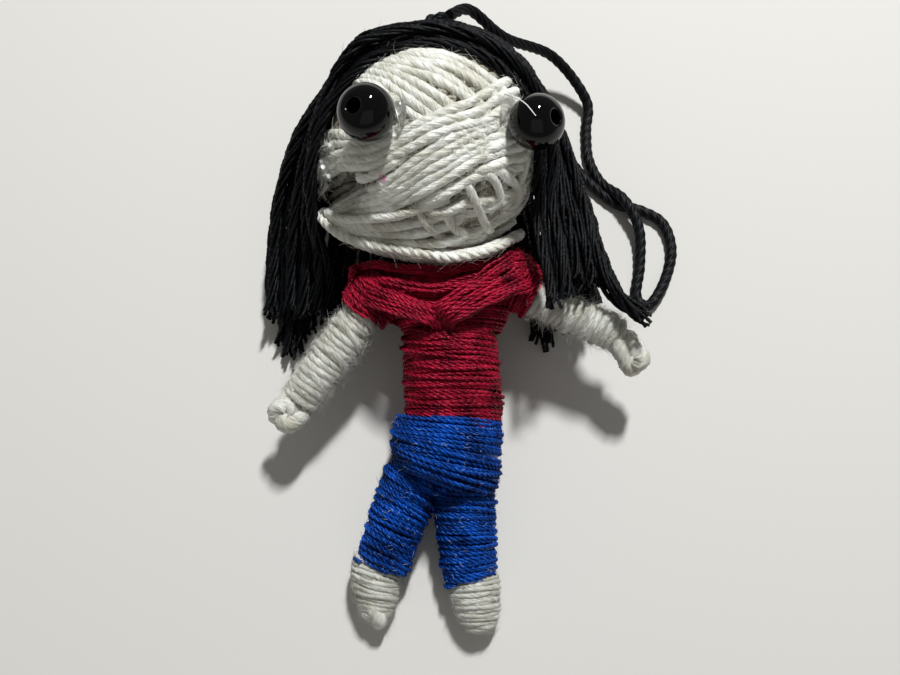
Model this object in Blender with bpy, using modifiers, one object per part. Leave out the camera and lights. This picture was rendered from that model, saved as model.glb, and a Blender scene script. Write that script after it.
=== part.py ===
# Yarn doll: a small figure wound in yarn over a pipe-cleaner armature, lying on its back on a table.
# Units are metres and +Z is up. The origin lies on the table under the centre of the head.
# Left and right are the picture's, seen from above with the head away from the viewer.
# In the doll's own frame, which starts at the head's centre, +X is right, +Y runs to the crown
# and +Z comes out of the face. Pieces modelled upright have +Z towards the crown instead.
import math

import bmesh
import bpy
import numpy as np
from mathutils import Matrix, Vector

# Driving dimensions
touch_gap = 0.0003            # clearance between pieces that touch on the real doll
turn_gap = 0.00048            # clearance between neighbouring turns of one winding
slope = math.radians(13.7)    # slope of the doll's long axis, as the head is thicker than the feet

head_radius = 0.0108          # ball of yarn, over its outer strands
head_rise = 0.0126            # height of the head's centre above the table
head_strand = 0.0020          # thickness of one wound strand on the head
head_turns = 9
head_strand_lean = math.radians(24)   # the strands rise to the right across the face
head_pole = math.radians(17)          # the winding starts and ends this far from its poles

chin_strand = 0.0011          # loose strand that sags under the chin
chin_gap = 0.0006
chin_turns = (math.radians(-72), math.radians(70))
chin_drop = math.radians(-69)
chin_rises = (math.radians(24), math.radians(21))

bead_radius = 0.0025
bead_height = 0.0044
bead_hole_radius = 0.0007
bead_seat = 0.0002            # clearance under a bead that is glued on the strands
eye_left_turn = math.radians(-25)     # from straight out of the face, towards the side
eye_right_turn = math.radians(44.5)
eye_lift = math.radians(-0.8)
glue_radius = 0.0006
glue_height = 0.0026
glue_left_angle = math.radians(20)    # the dab's place round its bead, from the picture's right
glue_right_angle = math.radians(125)

neck_drop = 0.0111            # neck bend below the head's centre
neck_shift = 0.0006
stem_radius = 0.00075         # pipe-cleaner stem with its nap wound flat
bore_gap = 0.0003

thread = 0.0012               # thickness of one modelled turn of clothing thread
skin_strand = 0.0011          # thickness of one turn of cream yarn on arms and feet

shoulder_left_x = -0.0058
shoulder_left_drop = 0.0147
shoulder_right_x = 0.0077
shoulder_right_drop = 0.0133
arm_radius = 0.00215
arm_left_length = 0.0116      # from the shoulder bend to the start of the hand
arm_right_length = 0.0109
hand_left_turn = 0            # bend at the wrist, positive towards the picture's right
hand_right_turn = math.radians(-32)
arm_left_angle = math.radians(-36)    # from hanging straight down, positive to the right
arm_right_angle = math.radians(67)
sleeve_radius = 0.0026
sleeve_length = 0.0026
sleeve_strand = 0.0009
hand_radius = 0.0017
hand_length = 0.0036
hand_drop = 0.00115           # clearance of the hand's knot from the wrist

yoke_half_width = 0.0092
yoke_half_height = 0.0029
yoke_half_depth = 0.0031
yoke_trim = 0.0008            # the yoke stops this far inside each shoulder bend
cross_thread = 0.0009         # thickness of one turn of the thread crossed over chest and shoulders
cross_turns = 1.5
cross_turn_gap = 0.0008

torso_radius = 0.00465
torso_top_drop = 0.0184
torso_bottom_drop = 0.0264
torso_x = 0.0015
torso_lean = math.radians(3.5)

hip_radius = 0.0050
hip_x = 0.0012
hip_top_drop = 0.0268
hip_bottom_drop = 0.0300
hip_lean = math.radians(-7)

leg_radius = 0.00275
leg_drop = 0.0333             # hip bend below the head's centre
leg_left_x = -0.0024
leg_right_x = 0.0034
leg_left_length = 0.0071
leg_right_length = 0.0077
leg_left_angle = math.radians(-19)
leg_right_angle = math.radians(0)
leg_stem_radius = 0.00055
foot_length = 0.0046
foot_strand = 0.0012
foot_left_turn = math.radians(13)     # the left foot bends back to straight
foot_right_turn = math.radians(3)

lock_radius = 0.0008          # lock of floss
lock_gap = 0.0003
table_gap = 0.0001
lock_count = 8
first_crown_angle = math.radians(16)  # the front lock lies this far in front of the hair's middle
hair_tilt = math.radians(20)          # the band of hair leans forward over the forehead
mat_thickness = 0.0028        # hair pressed flat under the back of the head
mat_radius = head_radius + mat_thickness
cord_radius = 0.0006

# Counts of segments
loop_steps = 20
limb_steps = 12
turned_steps = 16

# Colours, from the photograph
cream = (0.86, 0.80, 0.66, 1)
crimson = (0.42, 0.02, 0.05, 1)
royal_blue = (0.02, 0.06, 0.38, 1)
floss_black = (0.012, 0.013, 0.018, 1)
bead_black = (0.01, 0.01, 0.01, 1)
glue_clear = (0.9, 0.9, 0.88, 1)
nap_white = (0.85, 0.83, 0.78, 1)

upright = (-math.pi / 2, 0, 0)
weld = 0.000001

# Where each lock leaves the ball, in degrees from the crown, then its tip across, along and above the
# table, and the pulls of its bend, all as shares of the head's radius
left_lock_shares = (
    (100, -0.97, -1.50, 0.44, 0.40, 0.60),
    (94, -1.14, -1.44, 0.43, 0.45, 0.70),
    (72, -1.32, -1.50, 0.41, 0.70, 0.95),
    (46, -1.62, -1.46, 0.26, 0.95, 1.35),
    (46, -1.52, -1.52, 0.085, 1.00, 1.25),
    (62, -1.34, -1.85, 0.085, 0.75, 1.10),
    (76, -1.16, -1.55, 0.085, 0.60, 0.80),
    (82, -0.97, -1.46, 0.085, 0.50, 0.60),
)
right_lock_shares = (
    (99, 1.00, -1.48, 1.33, 0.40, 0.50),
    (92, 1.30, -1.40, 1.28, 0.50, 0.50),
    (72, 1.55, -1.43, 1.25, 0.60, 0.50),
    (50, 1.82, -1.52, 1.19, 0.85, 0.35),
    (54, 1.62, -1.20, 0.32, 0.85, 0.85),
    (70, 1.42, -1.45, 0.26, 0.65, 0.80),
    (80, 1.22, -1.55, 0.26, 0.60, 0.80),
    (86, 1.02, -1.62, 0.26, 0.50, 0.60),
)
spread_turns = 60
spread_share = 1.06            # distance kept between the locks' points, to their spacing
outer_lock_shares = (
    (-1, 0.02, (56, -1.46, -1.42, 0.45, 0.65, 1.20)),
    (1, 0.02, (56, 1.64, -1.33, 1.52, 0.60, 0.80)),
)
lock_bend_steps = 11
lock_crown_steps = 10

arm_left_middle = math.radians(-50)   # middle of each arm's swing
arm_right_middle = math.radians(50)
sleeve_root_reach = math.radians(50)
sleeve_core_reach = math.radians(40)
leg_core_reach = math.radians(20)
core_top_share = 0.64
hand_flat_share = 0.85
yoke_drop = 0.0010
cross_left_angle = math.radians(-38)
cross_right_angle = math.radians(38)
cross_lift = 0.0012           # above the middle of the yoke
cross_sag = 0.0020            # the crossed thread droops this far on the chest
seat_depth = 0.0012
seat_share = 0.8
table_share = 3               # size of the block that cuts the feet flat, to the head's height
leg_root_reach = math.radians(60)
foot_share = 0.94
foot_tip_reach = math.radians(58)

# The hanging loop leaves a knot at the crown, lies on the table at the right and comes back
knot_radius = 0.0008
knot_shift = 0.0003
knot_clearance = 0.0030       # the knot sits on the locks, this far past the ball
knot_height = head_radius + knot_clearance
knot_depth = 0.0012
cord_steps = 3
cord_route = (
    (0.0015, 0.0144, 0.0147), (0.0037, 0.0165, 0.0128), (0.0075, 0.0158, 0.0092), (0.0132, 0.0168, 0.0045),
    (0.0172, 0.0131, 0.0016), (0.0172, 0.0095, 0.0007), (0.0173, 0.0058, 0.0007), (0.0186, 0.0028, 0.0007),
    (0.0207, 0.0002, 0.0019), (0.0222, -0.0032, 0.0016), (0.0222, -0.0072, 0.0008), (0.0216, -0.0108, 0.0007),
    (0.0229, -0.0118, 0.0007), (0.0247, -0.0092, 0.0007), (0.0258, -0.0055, 0.0007), (0.0251, -0.0022, 0.0007),
    (0.0228, -0.0006, 0.0007), (0.0196, 0.0006, 0.0007), (0.0156, 0.0050, 0.0007), (0.0135, 0.0100, 0.0007),
    (0.0090, 0.0148, 0.0016), (0.0035, 0.0163, 0.0066), (0.0012, 0.0156, 0.0110), (0.0004, 0.0147, 0.0133),
)


def clear_scene():
    for old in list(bpy.data.objects):
        bpy.data.objects.remove(old, do_unlink=True)


def make_collection(name):
    group = bpy.data.collections.new(name)
    bpy.context.scene.collection.children.link(group)
    return group


def make_material(name, colour, roughness):
    made = bpy.data.materials.new(name)
    made.use_nodes = True
    shader = made.node_tree.nodes["Principled BSDF"]
    shader.inputs["Base Color"].default_value = colour
    shader.inputs["Roughness"].default_value = roughness
    shader.inputs["Metallic"].default_value = 0
    made.diffuse_color = colour
    return made


def add_empty(name, parent, location, rotation=(0, 0, 0)):
    empty = bpy.data.objects.new(name, None)
    doll.objects.link(empty)
    empty.parent = parent
    empty.location = location
    empty.rotation_euler = rotation
    return empty


def add_object(name, data, parent, look, group=None):
    made = bpy.data.objects.new(name, data)
    (group or doll).objects.link(made)
    made.parent = parent
    if look is not None:
        data.materials.append(look)
    return made


def make_cutter(name, parent, fill):
    # A closed shape that fill() draws into a bmesh, kept out of the doll.
    mesh = bpy.data.meshes.new(name)
    shape = bmesh.new()
    fill(shape)
    shape.to_mesh(mesh)
    shape.free()
    cutter = add_object(name, mesh, parent, None, cutters)
    cutter.hide_render = True
    cutter.display_type = "WIRE"
    return cutter


def cut(target, cutter):
    boolean = target.modifiers.new(cutter.name, "BOOLEAN")
    boolean.operation = "DIFFERENCE"
    boolean.object = cutter


def capsule_outline(radius, length, root_reach, tip_reach, steps=8):
    # Outline (radius, height) of a rod with round ends from its root's centre down to its tip.
    # The reaches are the angles, from the level of each end's centre, that the round ends cover.
    points = []
    for step in range(steps + 1):
        angle = root_reach * (1 - step / steps)
        points.append((radius * math.cos(angle), radius * math.sin(angle)))
    for step in range(steps + 1):
        angle = tip_reach * step / steps
        points.append((radius * math.cos(angle), -length - radius * math.sin(angle)))
    return points


def turned(name, outline, parent, look, steps=turned_steps):
    # A solid turned from its outline, given from top to bottom.
    mesh = bpy.data.meshes.new(name)
    points = [(radius, 0, height) for radius, height in outline]
    mesh.from_pydata(points, [(i, i + 1) for i in range(len(points) - 1)], [])
    made = add_object(name, mesh, parent, look)
    screw = made.modifiers.new("turn", "SCREW")
    screw.steps = steps
    screw.render_steps = steps
    screw.use_merge_vertices = True
    screw.merge_threshold = weld
    screw.use_smooth_shade = True
    return made


def tube(name, points, radius, parent, look, resolution=1):
    # A round tube with capped ends along a row of points.
    curve = bpy.data.curves.new(name, "CURVE")
    curve.dimensions = "3D"
    curve.bevel_depth = radius
    curve.bevel_resolution = resolution
    curve.use_fill_caps = True
    spline = curve.splines.new("POLY")
    spline.points.add(len(points) - 1)
    for slot, point in zip(spline.points, points):
        slot.co = (point[0], point[1], point[2], 1)
    return add_object(name, curve, parent, look)


def as_mesh(curve_object):
    # The same tube as a closed mesh, so that it can be cut.
    bpy.context.view_layer.update()
    graph = bpy.context.evaluated_depsgraph_get()
    mesh = bpy.data.meshes.new_from_object(curve_object.evaluated_get(graph))
    shape = bmesh.new()
    shape.from_mesh(mesh)
    bmesh.ops.remove_doubles(shape, verts=shape.verts, dist=weld)
    shape.to_mesh(mesh)
    shape.free()
    name = curve_object.name
    look = curve_object.data.materials[0]
    matrix = curve_object.matrix_world.copy()
    bpy.data.objects.remove(curve_object, do_unlink=True)
    made = add_object(name, mesh, None, None)
    if not mesh.materials:
        mesh.materials.append(look)
    made.matrix_world = matrix
    return made


def wound_points(outline, turns, steps, squash=1):
    # Points of one thread wound at an even pitch down a turned outline.
    heights = np.array(outline)
    reach = np.concatenate(([0], np.cumsum(np.hypot(*np.diff(heights, axis=0).T))))
    count = round(turns * steps)
    travel = np.linspace(0, reach[-1], count + 1)
    radius = np.interp(travel, reach, heights[:, 0])
    height = np.interp(travel, reach, heights[:, 1])
    angle = 2 * math.pi * np.arange(count + 1) / steps
    return np.stack([radius * np.sin(angle), -squash * radius * np.cos(angle), height], axis=1)


def least_turn_gap(points, steps, thickness):
    # Least clearance between a winding's turns, measured from point to point.
    apart = np.linalg.norm(points[:, None] - points[None], axis=2)
    index = np.arange(len(points))
    far = np.abs(index[:, None] - index[None]) > steps // 2
    return apart[far].min() - thickness


def winding(name, outline, turns, strand, parent, look, steps=loop_steps, squash=1):
    points = wound_points(outline, turns, steps, squash)
    gap = least_turn_gap(points, steps, strand)
    print(f"{name}: {turns} turns, least gap {gap * 1000:.2f} mm")
    return tube(name, points, strand / 2, parent, look)


def turns_for(outline, strand):
    # As many half turns as fit on an outline with the clearance between turns.
    heights = np.array(outline)
    travel = np.hypot(*np.diff(heights, axis=0).T).sum()
    return math.floor(2 * travel / (strand + turn_gap)) / 2


def build_head(look):
    # The ball: padding, one long winding round it, and a loose strand along the chin.
    winding_frame = add_empty("head_winding_axis", head_centre, (0, 0, 0), (upright[0], 0, head_strand_lean))
    centre_radius = head_radius - head_strand / 2
    core_radius = head_radius - head_strand - touch_gap
    turned("head_padding", capsule_outline(core_radius, 0, math.pi / 2, math.pi / 2), winding_frame, look)
    reach = math.pi / 2 - head_pole
    outline = capsule_outline(centre_radius, 0, reach, reach, loop_steps)
    winding("head_winding", outline, head_turns, head_strand, winding_frame, look)

    chin_radius = head_radius + chin_gap + chin_strand / 2
    points = []
    for step in range(loop_steps + 1):
        turn = chin_turns[0] + (chin_turns[1] - chin_turns[0]) * step / loop_steps
        side = 0 if turn < 0 else 1
        drop = chin_drop + chin_rises[side] * (turn / chin_turns[side]) ** 2
        points.append(on_ball(chin_radius, turn, drop))
    tube("chin_strand", points, chin_strand / 2, head_centre, look)


def on_ball(radius, turn, lift):
    # A point on a sphere round the head's centre, by its turn from the face and its lift to the crown.
    flat = radius * math.cos(lift)
    return Vector((flat * math.sin(turn), radius * math.sin(lift), flat * math.cos(turn)))


def build_eye(side, turn, glue_angle, look, glue_look):
    # A bead glued on with its hole outwards, and the dab of glue that shows beside it.
    direction = on_ball(1, turn, eye_lift)
    place = direction * (head_radius + bead_seat + bead_height / 2)
    frame = add_empty(f"eye_{side}_axis", head_centre, place)
    frame.rotation_euler = direction.to_track_quat("Z", "Y").to_euler()
    wall = bead_radius - bead_hole_radius
    steps = 10
    outline = []
    for step in range(steps + 1):
        angle = math.pi / 2 - math.pi * step / steps
        outline.append((bead_hole_radius + wall * math.cos(angle), bead_height / 2 * math.sin(angle)))
    turned(f"eye_bead_{side}", outline + outline[:1], frame, look)

    # The dab stands on the ball against the bead's side.
    mesh = bpy.data.meshes.new(f"eye_glue_{side}")
    shape = bmesh.new()
    bmesh.ops.create_icosphere(shape, subdivisions=2, radius=1, matrix=Matrix.Diagonal(
        (glue_radius, glue_radius, glue_height / 2, 1)))
    shape.to_mesh(mesh)
    shape.free()
    mesh.shade_smooth()
    rise = head_radius + touch_gap + glue_height / 2
    reach = (bead_radius + touch_gap + glue_radius) / rise
    direction = on_ball(1, turn + reach * math.cos(glue_angle), eye_lift + reach * math.sin(glue_angle))
    dab = add_object(f"eye_glue_{side}", mesh, head_centre, glue_look)
    dab.location = direction * rise
    dab.rotation_euler = direction.to_track_quat("Z", "Y").to_euler()


def table_depth(y, height):
    # Depth in the doll's frame of a point at this height above the table.
    return (height - head_rise - y * math.sin(slope)) / math.cos(slope)


def bend(start, start_pull, end_pull, end, steps):
    # Points of a smooth bend from start to end, which leaves and arrives along its pulls.
    points = []
    for step in range(1, steps + 1):
        t = step / steps
        s = 1 - t
        points.append(s ** 3 * start + 3 * s * s * t * start_pull + 3 * s * t * t * end_pull + t ** 3 * end)
    return points


def on_band(radius, angle, depth):
    # A point of a lock on the ball, by its angle from the crown, in the band's own lean.
    tilt = Matrix.Rotation(hair_tilt, 3, "X")
    return tilt @ Vector((radius * math.sin(angle), radius * math.cos(angle), depth))


def lock_side(radius, depth, side, shares):
    # One hanging side of a lock, from where it leaves the ball to its tip.
    leave_degrees, x_share, y_share, height_share, first_pull, last_pull = shares
    leave = side * math.radians(leave_degrees)
    y = y_share * head_radius
    tip = Vector((x_share * head_radius, y, table_depth(y, height_share * head_radius)))
    start = on_band(radius, leave, depth)
    along = on_band(side, leave + math.pi / 2, 0)
    start_pull = start + along * head_radius * first_pull
    end_pull = tip + Vector((0, head_radius * last_pull, 0))
    return leave, bend(start, start_pull, end_pull, tip, lock_bend_steps)


def spread_locks(rows, spacing, shell):
    # The locks' points moved apart until no lock lies in another, in the head or in the table.
    points = np.array([point for row in rows for point in row])
    owner = np.repeat(np.arange(len(rows)), [len(row) for row in rows])
    other = owner[:, None] != owner[None]
    up = np.array((0, math.sin(slope), math.cos(slope)))
    for turn in range(spread_turns):
        offset = points[:, None] - points[None]
        apart = np.linalg.norm(offset, axis=2) + np.eye(len(points))
        short = np.where(other, np.clip(spacing * spread_share - apart, 0, None), 0)
        points = points + (offset * (short / apart)[:, :, None]).sum(axis=1) / 2
        distance = np.linalg.norm(points, axis=1, keepdims=True)
        points = points * np.maximum(1, shell / distance)
        height = points @ up + head_rise
        points = points + np.clip(lock_radius + table_gap - height, 0, None)[:, None] * up
    ends = np.cumsum([len(row) for row in rows])[:-1]
    return np.split(points, ends)


def build_hair(look):
    # Locks of floss laid over the crown from side to side, and the mat under the head.
    shell = head_radius + touch_gap + lock_radius
    spacing = 2 * lock_radius + lock_gap
    locks = {}
    for index in range(lock_count):
        crown_angle = first_crown_angle - index * spacing / shell
        depth = shell * math.sin(crown_angle)
        crown_radius = shell * math.cos(crown_angle)
        left_leave, left_side = lock_side(crown_radius, depth, -1, left_lock_shares[index])
        right_leave, right_side = lock_side(crown_radius, depth, 1, right_lock_shares[index])
        points = list(reversed(left_side))
        for step in range(lock_crown_steps + 1):
            angle = left_leave + (right_leave - left_leave) * step / lock_crown_steps
            points.append(on_band(crown_radius, angle, depth))
        locks[f"hair_lock_{index + 1}"] = points + right_side

    # Outer locks that lie over the others beside the head.
    for index, (side, place_share, shares) in enumerate(outer_lock_shares):
        depth = shell * place_share
        radius = math.sqrt((shell + spacing) ** 2 - depth ** 2)
        leave, bent = lock_side(radius, depth, side, shares)
        locks[f"hair_outer_lock_{index + 1}"] = [on_band(radius, leave, depth)] + bent

    spread = spread_locks(list(locks.values()), spacing, shell)
    for name, points in zip(locks, spread):
        tube(name, points, lock_radius, head_centre, look)

    last_depth = shell * math.sin(first_crown_angle - (lock_count - 1) * spacing / shell)
    mat_top = last_depth - lock_radius - lock_gap
    mesh = bpy.data.meshes.new("hair_mat")
    shape = bmesh.new()
    bmesh.ops.create_uvsphere(shape, u_segments=turned_steps, v_segments=turned_steps // 2 + 2,
                              radius=mat_radius)
    up = Vector((0, math.sin(slope), math.cos(slope)))
    for point, normal in (((0, 0, mat_top), (0, 0, 1)), (up * -head_rise, -up)):
        geometry = shape.verts[:] + shape.edges[:] + shape.faces[:]
        cutting = bmesh.ops.bisect_plane(shape, geom=geometry, plane_co=point, plane_no=normal,
                                         clear_outer=True)
        rim = [item for item in cutting["geom_cut"] if isinstance(item, bmesh.types.BMEdge)]
        bmesh.ops.edgeloop_fill(shape, edges=rim)
    bmesh.ops.recalc_face_normals(shape, faces=shape.faces)
    shape.to_mesh(mesh)
    shape.free()
    mat = add_object("hair_mat", mesh, head_centre, look)
    hollow = make_cutter("head_hollow", head_centre, lambda shape: bmesh.ops.create_uvsphere(
        shape, u_segments=turned_steps, v_segments=turned_steps // 2, radius=head_radius + touch_gap))
    cut(mat, hollow)


def smooth_route(points, steps):
    # A smooth curve through the points, with the same number of steps between each two.
    ends = [points[0] * 2 - points[1]] + points + [points[-1] * 2 - points[-2]]
    route = []
    for index in range(1, len(ends) - 2):
        before, here, there, after = ends[index - 1:index + 3]
        for step in range(steps):
            t = step / steps
            route.append((here * 2 + (there - before) * t
                          + (before * 2 - here * 5 + there * 4 - after) * t * t
                          + (here * 3 - before - there * 3 + after) * t ** 3) / 2)
    return route + [points[-1]]


def build_cord(look):
    # The hanging loop: a cord from the crown that lies on the table and comes back to the crown.
    knot_place = Vector((knot_shift, knot_height, table_depth(0, head_rise) - knot_depth))
    mesh = bpy.data.meshes.new("cord_knot")
    shape = bmesh.new()
    bmesh.ops.create_icosphere(shape, subdivisions=2, radius=knot_radius)
    shape.to_mesh(mesh)
    shape.free()
    mesh.shade_smooth()
    knot = add_object("cord_knot", mesh, head_centre, look)
    knot.location = knot_place
    route = smooth_route([Vector(point) for point in cord_route], cord_steps)
    tube("hanging_cord", route, cord_radius, None, look, 2)
    length = sum((b - a).length for a, b in zip(route, route[1:]))
    print(f"hanging_cord: {length * 1000:.1f} mm, {len(route)} points")


def build_torso(look, nap):
    # Spine, padding and the shirt's thread wound round the torso.
    frame = add_empty("torso_axis", doll_frame, (torso_x, -torso_top_drop, 0), (upright[0], 0, torso_lean))
    length = torso_bottom_drop - torso_top_drop
    centre_radius = torso_radius - thread / 2
    outline = [(centre_radius, -thread / 2), (centre_radius, -length + thread / 2)]
    winding("shirt_winding", outline, turns_for(outline, thread), thread, frame, look)
    core_radius = torso_radius - thread - touch_gap
    bore = stem_radius + bore_gap
    outline = [(bore, -thread), (core_radius, -thread), (core_radius, -length), (bore, -length)]
    turned("torso_padding", outline + outline[:1], frame, look)
    spine_top = torso_top_drop - neck_drop - touch_gap - stem_radius
    spine_length = spine_top + hip_bottom_drop - torso_top_drop
    spine_frame = add_empty("spine_axis", frame, (0, 0, spine_top))
    outline = capsule_outline(stem_radius, spine_length, math.pi / 2, math.pi / 2, 3)
    turned("spine_pipe_cleaner", outline, spine_frame, nap, limb_steps)
    return spine_frame, spine_length


def build_yoke(look, spine_frame, spine_length):
    # The shoulders: a mass of thread from arm to arm, hollowed where each arm's root sits.
    left = Vector((shoulder_left_x, -shoulder_left_drop, 0))
    right = Vector((shoulder_right_x, -shoulder_right_drop, 0))
    lean = math.atan2(right.y - left.y, right.x - left.x)
    middle = (left + right) / 2 - Vector((0, yoke_drop, 0))
    mesh = bpy.data.meshes.new("shirt_yoke")
    shape = bmesh.new()
    size = Matrix.Diagonal((yoke_half_depth, yoke_half_height, yoke_half_width, 1))
    bmesh.ops.create_uvsphere(shape, u_segments=loop_steps, v_segments=limb_steps, radius=1,
                              matrix=Matrix.Rotation(math.pi / 2, 4, "Y") @ size)
    for place, angle in ((left, arm_left_middle), (right, arm_right_middle)):
        outward = Vector((math.sin(angle), -math.cos(angle), 0))
        turn_back = Matrix.Rotation(-lean, 3, "Z")
        point = turn_back @ (place - outward * yoke_trim - middle)
        geometry = shape.verts[:] + shape.edges[:] + shape.faces[:]
        cutting = bmesh.ops.bisect_plane(shape, geom=geometry, plane_co=point,
                                         plane_no=turn_back @ outward, clear_outer=True)
        rim = [item for item in cutting["geom_cut"] if isinstance(item, bmesh.types.BMEdge)]
        bmesh.ops.edgeloop_fill(shape, edges=rim)
    bmesh.ops.recalc_face_normals(shape, faces=shape.faces)
    shape.to_mesh(mesh)
    shape.free()
    yoke = add_object("shirt_yoke", mesh, doll_frame, look)
    yoke.location = middle
    yoke.rotation_euler = (0, 0, lean)
    for name, place in (("left", left), ("right", right)):
        socket = make_cutter(f"socket_{name}", doll_frame, lambda shape: bmesh.ops.create_uvsphere(
            shape, u_segments=turned_steps, v_segments=limb_steps, radius=sleeve_radius + touch_gap))
        socket.location = place
        cut(yoke, socket)
    spine_bore = make_cutter("spine_bore", spine_frame, lambda shape: bmesh.ops.create_cone(
        shape, cap_ends=True, segments=limb_steps, radius1=stem_radius + bore_gap,
        radius2=stem_radius + bore_gap, depth=2 * (spine_length + stem_radius + bore_gap)))
    cut(yoke, spine_bore)

    # The thread crossed over the chest: one winding over each shoulder and under the other arm,
    # laid on the yoke's surface. The second lies over the first.
    for layer, (name, angle) in enumerate((("right", cross_right_angle), ("left", cross_left_angle))):
        frame = add_empty(f"cross_{name}_axis", doll_frame, middle, (0, 0, lean))
        lift = touch_gap + cross_thread / 2
        over = lift + layer * (cross_thread + touch_gap)
        size = np.array((yoke_half_width + lift, yoke_half_height + over, yoke_half_depth + over))
        half_length = 1 / math.hypot(math.cos(angle) / size[0], math.sin(angle) / size[1])
        half = cross_turns * (cross_thread + cross_turn_gap) / 2
        ring = wound_points([(half_length, half), (half_length, -half)], cross_turns, loop_steps)
        front = -ring[:, 1] / half_length
        across = ring[:, 0] * math.cos(angle) - ring[:, 2] * math.sin(angle)
        along = ring[:, 0] * math.sin(angle) + ring[:, 2] * math.cos(angle)
        along += cross_lift - cross_sag * np.clip(front, 0, 1) ** 2
        unit = np.stack([across / size[0], along / size[1], front], axis=1)
        points = unit / np.linalg.norm(unit, axis=1, keepdims=True) * size
        gap = least_turn_gap(points, loop_steps, cross_thread)
        print(f"shirt_cross_{name}: {cross_turns} turns, least gap {gap * 1000:.2f} mm")
        tube(f"shirt_cross_{name}", points, cross_thread / 2, frame, look)
    return spine_bore


def build_arm(side, place, angle, arm_length, hand_turn, skin, red, nap):
    # One arm: pipe-cleaner stem, cream winding, hand, and the sleeve wound round its root.
    frame = add_empty(f"shoulder_{side}", doll_frame, place, (upright[0], 0, angle))
    turned(f"arm_{side}_pipe_cleaner",
           capsule_outline(stem_radius, arm_length, math.pi / 2, math.pi / 2, 3), frame, nap, limb_steps)

    centre_radius = sleeve_radius - sleeve_strand / 2
    outline = capsule_outline(centre_radius, sleeve_length, sleeve_root_reach, 0)
    winding(f"sleeve_{side}_winding", outline, turns_for(outline, sleeve_strand), sleeve_strand, frame, red,
            limb_steps)
    core_radius = sleeve_radius - sleeve_strand - touch_gap
    bore = stem_radius + bore_gap
    core = [(bore, core_radius * core_top_share)]
    core += capsule_outline(core_radius, sleeve_length, sleeve_core_reach, 0)[:-1]
    core.append((bore, -sleeve_length))
    turned(f"sleeve_{side}_padding", core + core[:1], frame, red, limb_steps)

    start = -sleeve_length - sleeve_strand / 2 - touch_gap - skin_strand / 2
    centre_radius = arm_radius - skin_strand / 2
    outline = [(centre_radius, start), (centre_radius, -arm_length)]
    winding(f"arm_{side}_winding", outline, turns_for(outline, skin_strand), skin_strand, frame, skin,
            limb_steps)

    mesh = bpy.data.meshes.new(f"hand_{side}")
    shape = bmesh.new()
    size = Matrix.Diagonal((hand_radius, hand_radius * hand_flat_share, hand_length / 2, 1))
    bmesh.ops.create_uvsphere(shape, u_segments=limb_steps, v_segments=limb_steps // 2 + 2, radius=1,
                              matrix=size)
    shape.to_mesh(mesh)
    shape.free()
    mesh.shade_smooth()
    wrist = add_empty(f"wrist_{side}", frame, (0, 0, -arm_length), (0, -hand_turn, 0))
    hand = add_object(f"hand_{side}", mesh, wrist, skin)
    hand.location = (0, 0, -hand_drop - hand_length / 2)
    return frame


def build_hips(look, spine_bore):
    # Padding of the hips, hollowed for the legs' roots, and the trousers' thread round it.
    frame = add_empty("hip_axis", doll_frame, (hip_x, -hip_top_drop, 0), (upright[0], 0, hip_lean))
    length = hip_bottom_drop - hip_top_drop
    centre_radius = hip_radius - thread / 2
    outline = [(centre_radius, -thread / 2), (centre_radius, -length)]
    winding("trouser_hip_winding", outline, turns_for(outline, thread), thread, frame, look)
    core_radius = hip_radius - thread - touch_gap
    core = [(0, -touch_gap), (core_radius, -touch_gap), (core_radius, -length),
            (core_radius * seat_share, -length - seat_depth), (0, -length - seat_depth)]
    padding = turned("hip_padding", core, frame, look)
    for side, x in (("left", leg_left_x), ("right", leg_right_x)):
        socket = make_cutter(f"hip_socket_{side}", doll_frame, lambda shape: bmesh.ops.create_uvsphere(
            shape, u_segments=turned_steps, v_segments=limb_steps, radius=leg_radius + touch_gap))
        socket.location = (x, -leg_drop, 0)
        cut(padding, socket)
    cut(padding, spine_bore)


def build_leg(side, place, angle, length, foot_turn, skin, blue, nap, table):
    # One leg: pipe-cleaner stem, blue padding and winding, and the cream foot.
    frame = add_empty(f"hip_{side}", doll_frame, place, (upright[0], 0, angle))
    turned(f"leg_{side}_pipe_cleaner",
           capsule_outline(leg_stem_radius, length, math.pi / 2, math.pi / 2, 3), frame, nap, limb_steps)
    centre_radius = leg_radius - thread / 2
    outline = capsule_outline(centre_radius, length, leg_root_reach, 0)
    winding(f"trouser_leg_{side}_winding", outline, turns_for(outline, thread), thread, frame, blue,
            limb_steps)
    core_radius = leg_radius - thread - touch_gap
    bore = leg_stem_radius + bore_gap
    core = [(bore, leg_stem_radius)]
    core += capsule_outline(core_radius, length, leg_core_reach, 0)[:-1]
    core.append((bore, -length))
    turned(f"leg_{side}_padding", core + core[:1], frame, blue, limb_steps)

    foot_frame = add_empty(f"foot_{side}_axis", frame,
                           (0, 0, -length - thread / 2 - touch_gap - foot_strand / 2), (0, -foot_turn, 0))
    foot_radius = leg_radius * foot_share
    centre_radius = foot_radius - foot_strand / 2
    straight = foot_length - foot_radius
    outline = capsule_outline(centre_radius, straight, 0, foot_tip_reach)
    foot = as_mesh(winding(f"foot_{side}_winding", outline, turns_for(outline, foot_strand),
                           foot_strand, foot_frame, skin, limb_steps))
    cut(foot, table)
    core_radius = foot_radius - foot_strand - touch_gap
    core_top = (thread + foot_strand) / 2 - leg_stem_radius
    core = [(0, core_top), (core_radius, core_top)]
    core += capsule_outline(core_radius, straight, 0, math.pi / 2, 5)[1:]
    turned(f"foot_{side}_padding", core, foot_frame, skin, limb_steps)


clear_scene()
doll = make_collection("yarn_doll")
cutters = make_collection("cutters")

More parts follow.
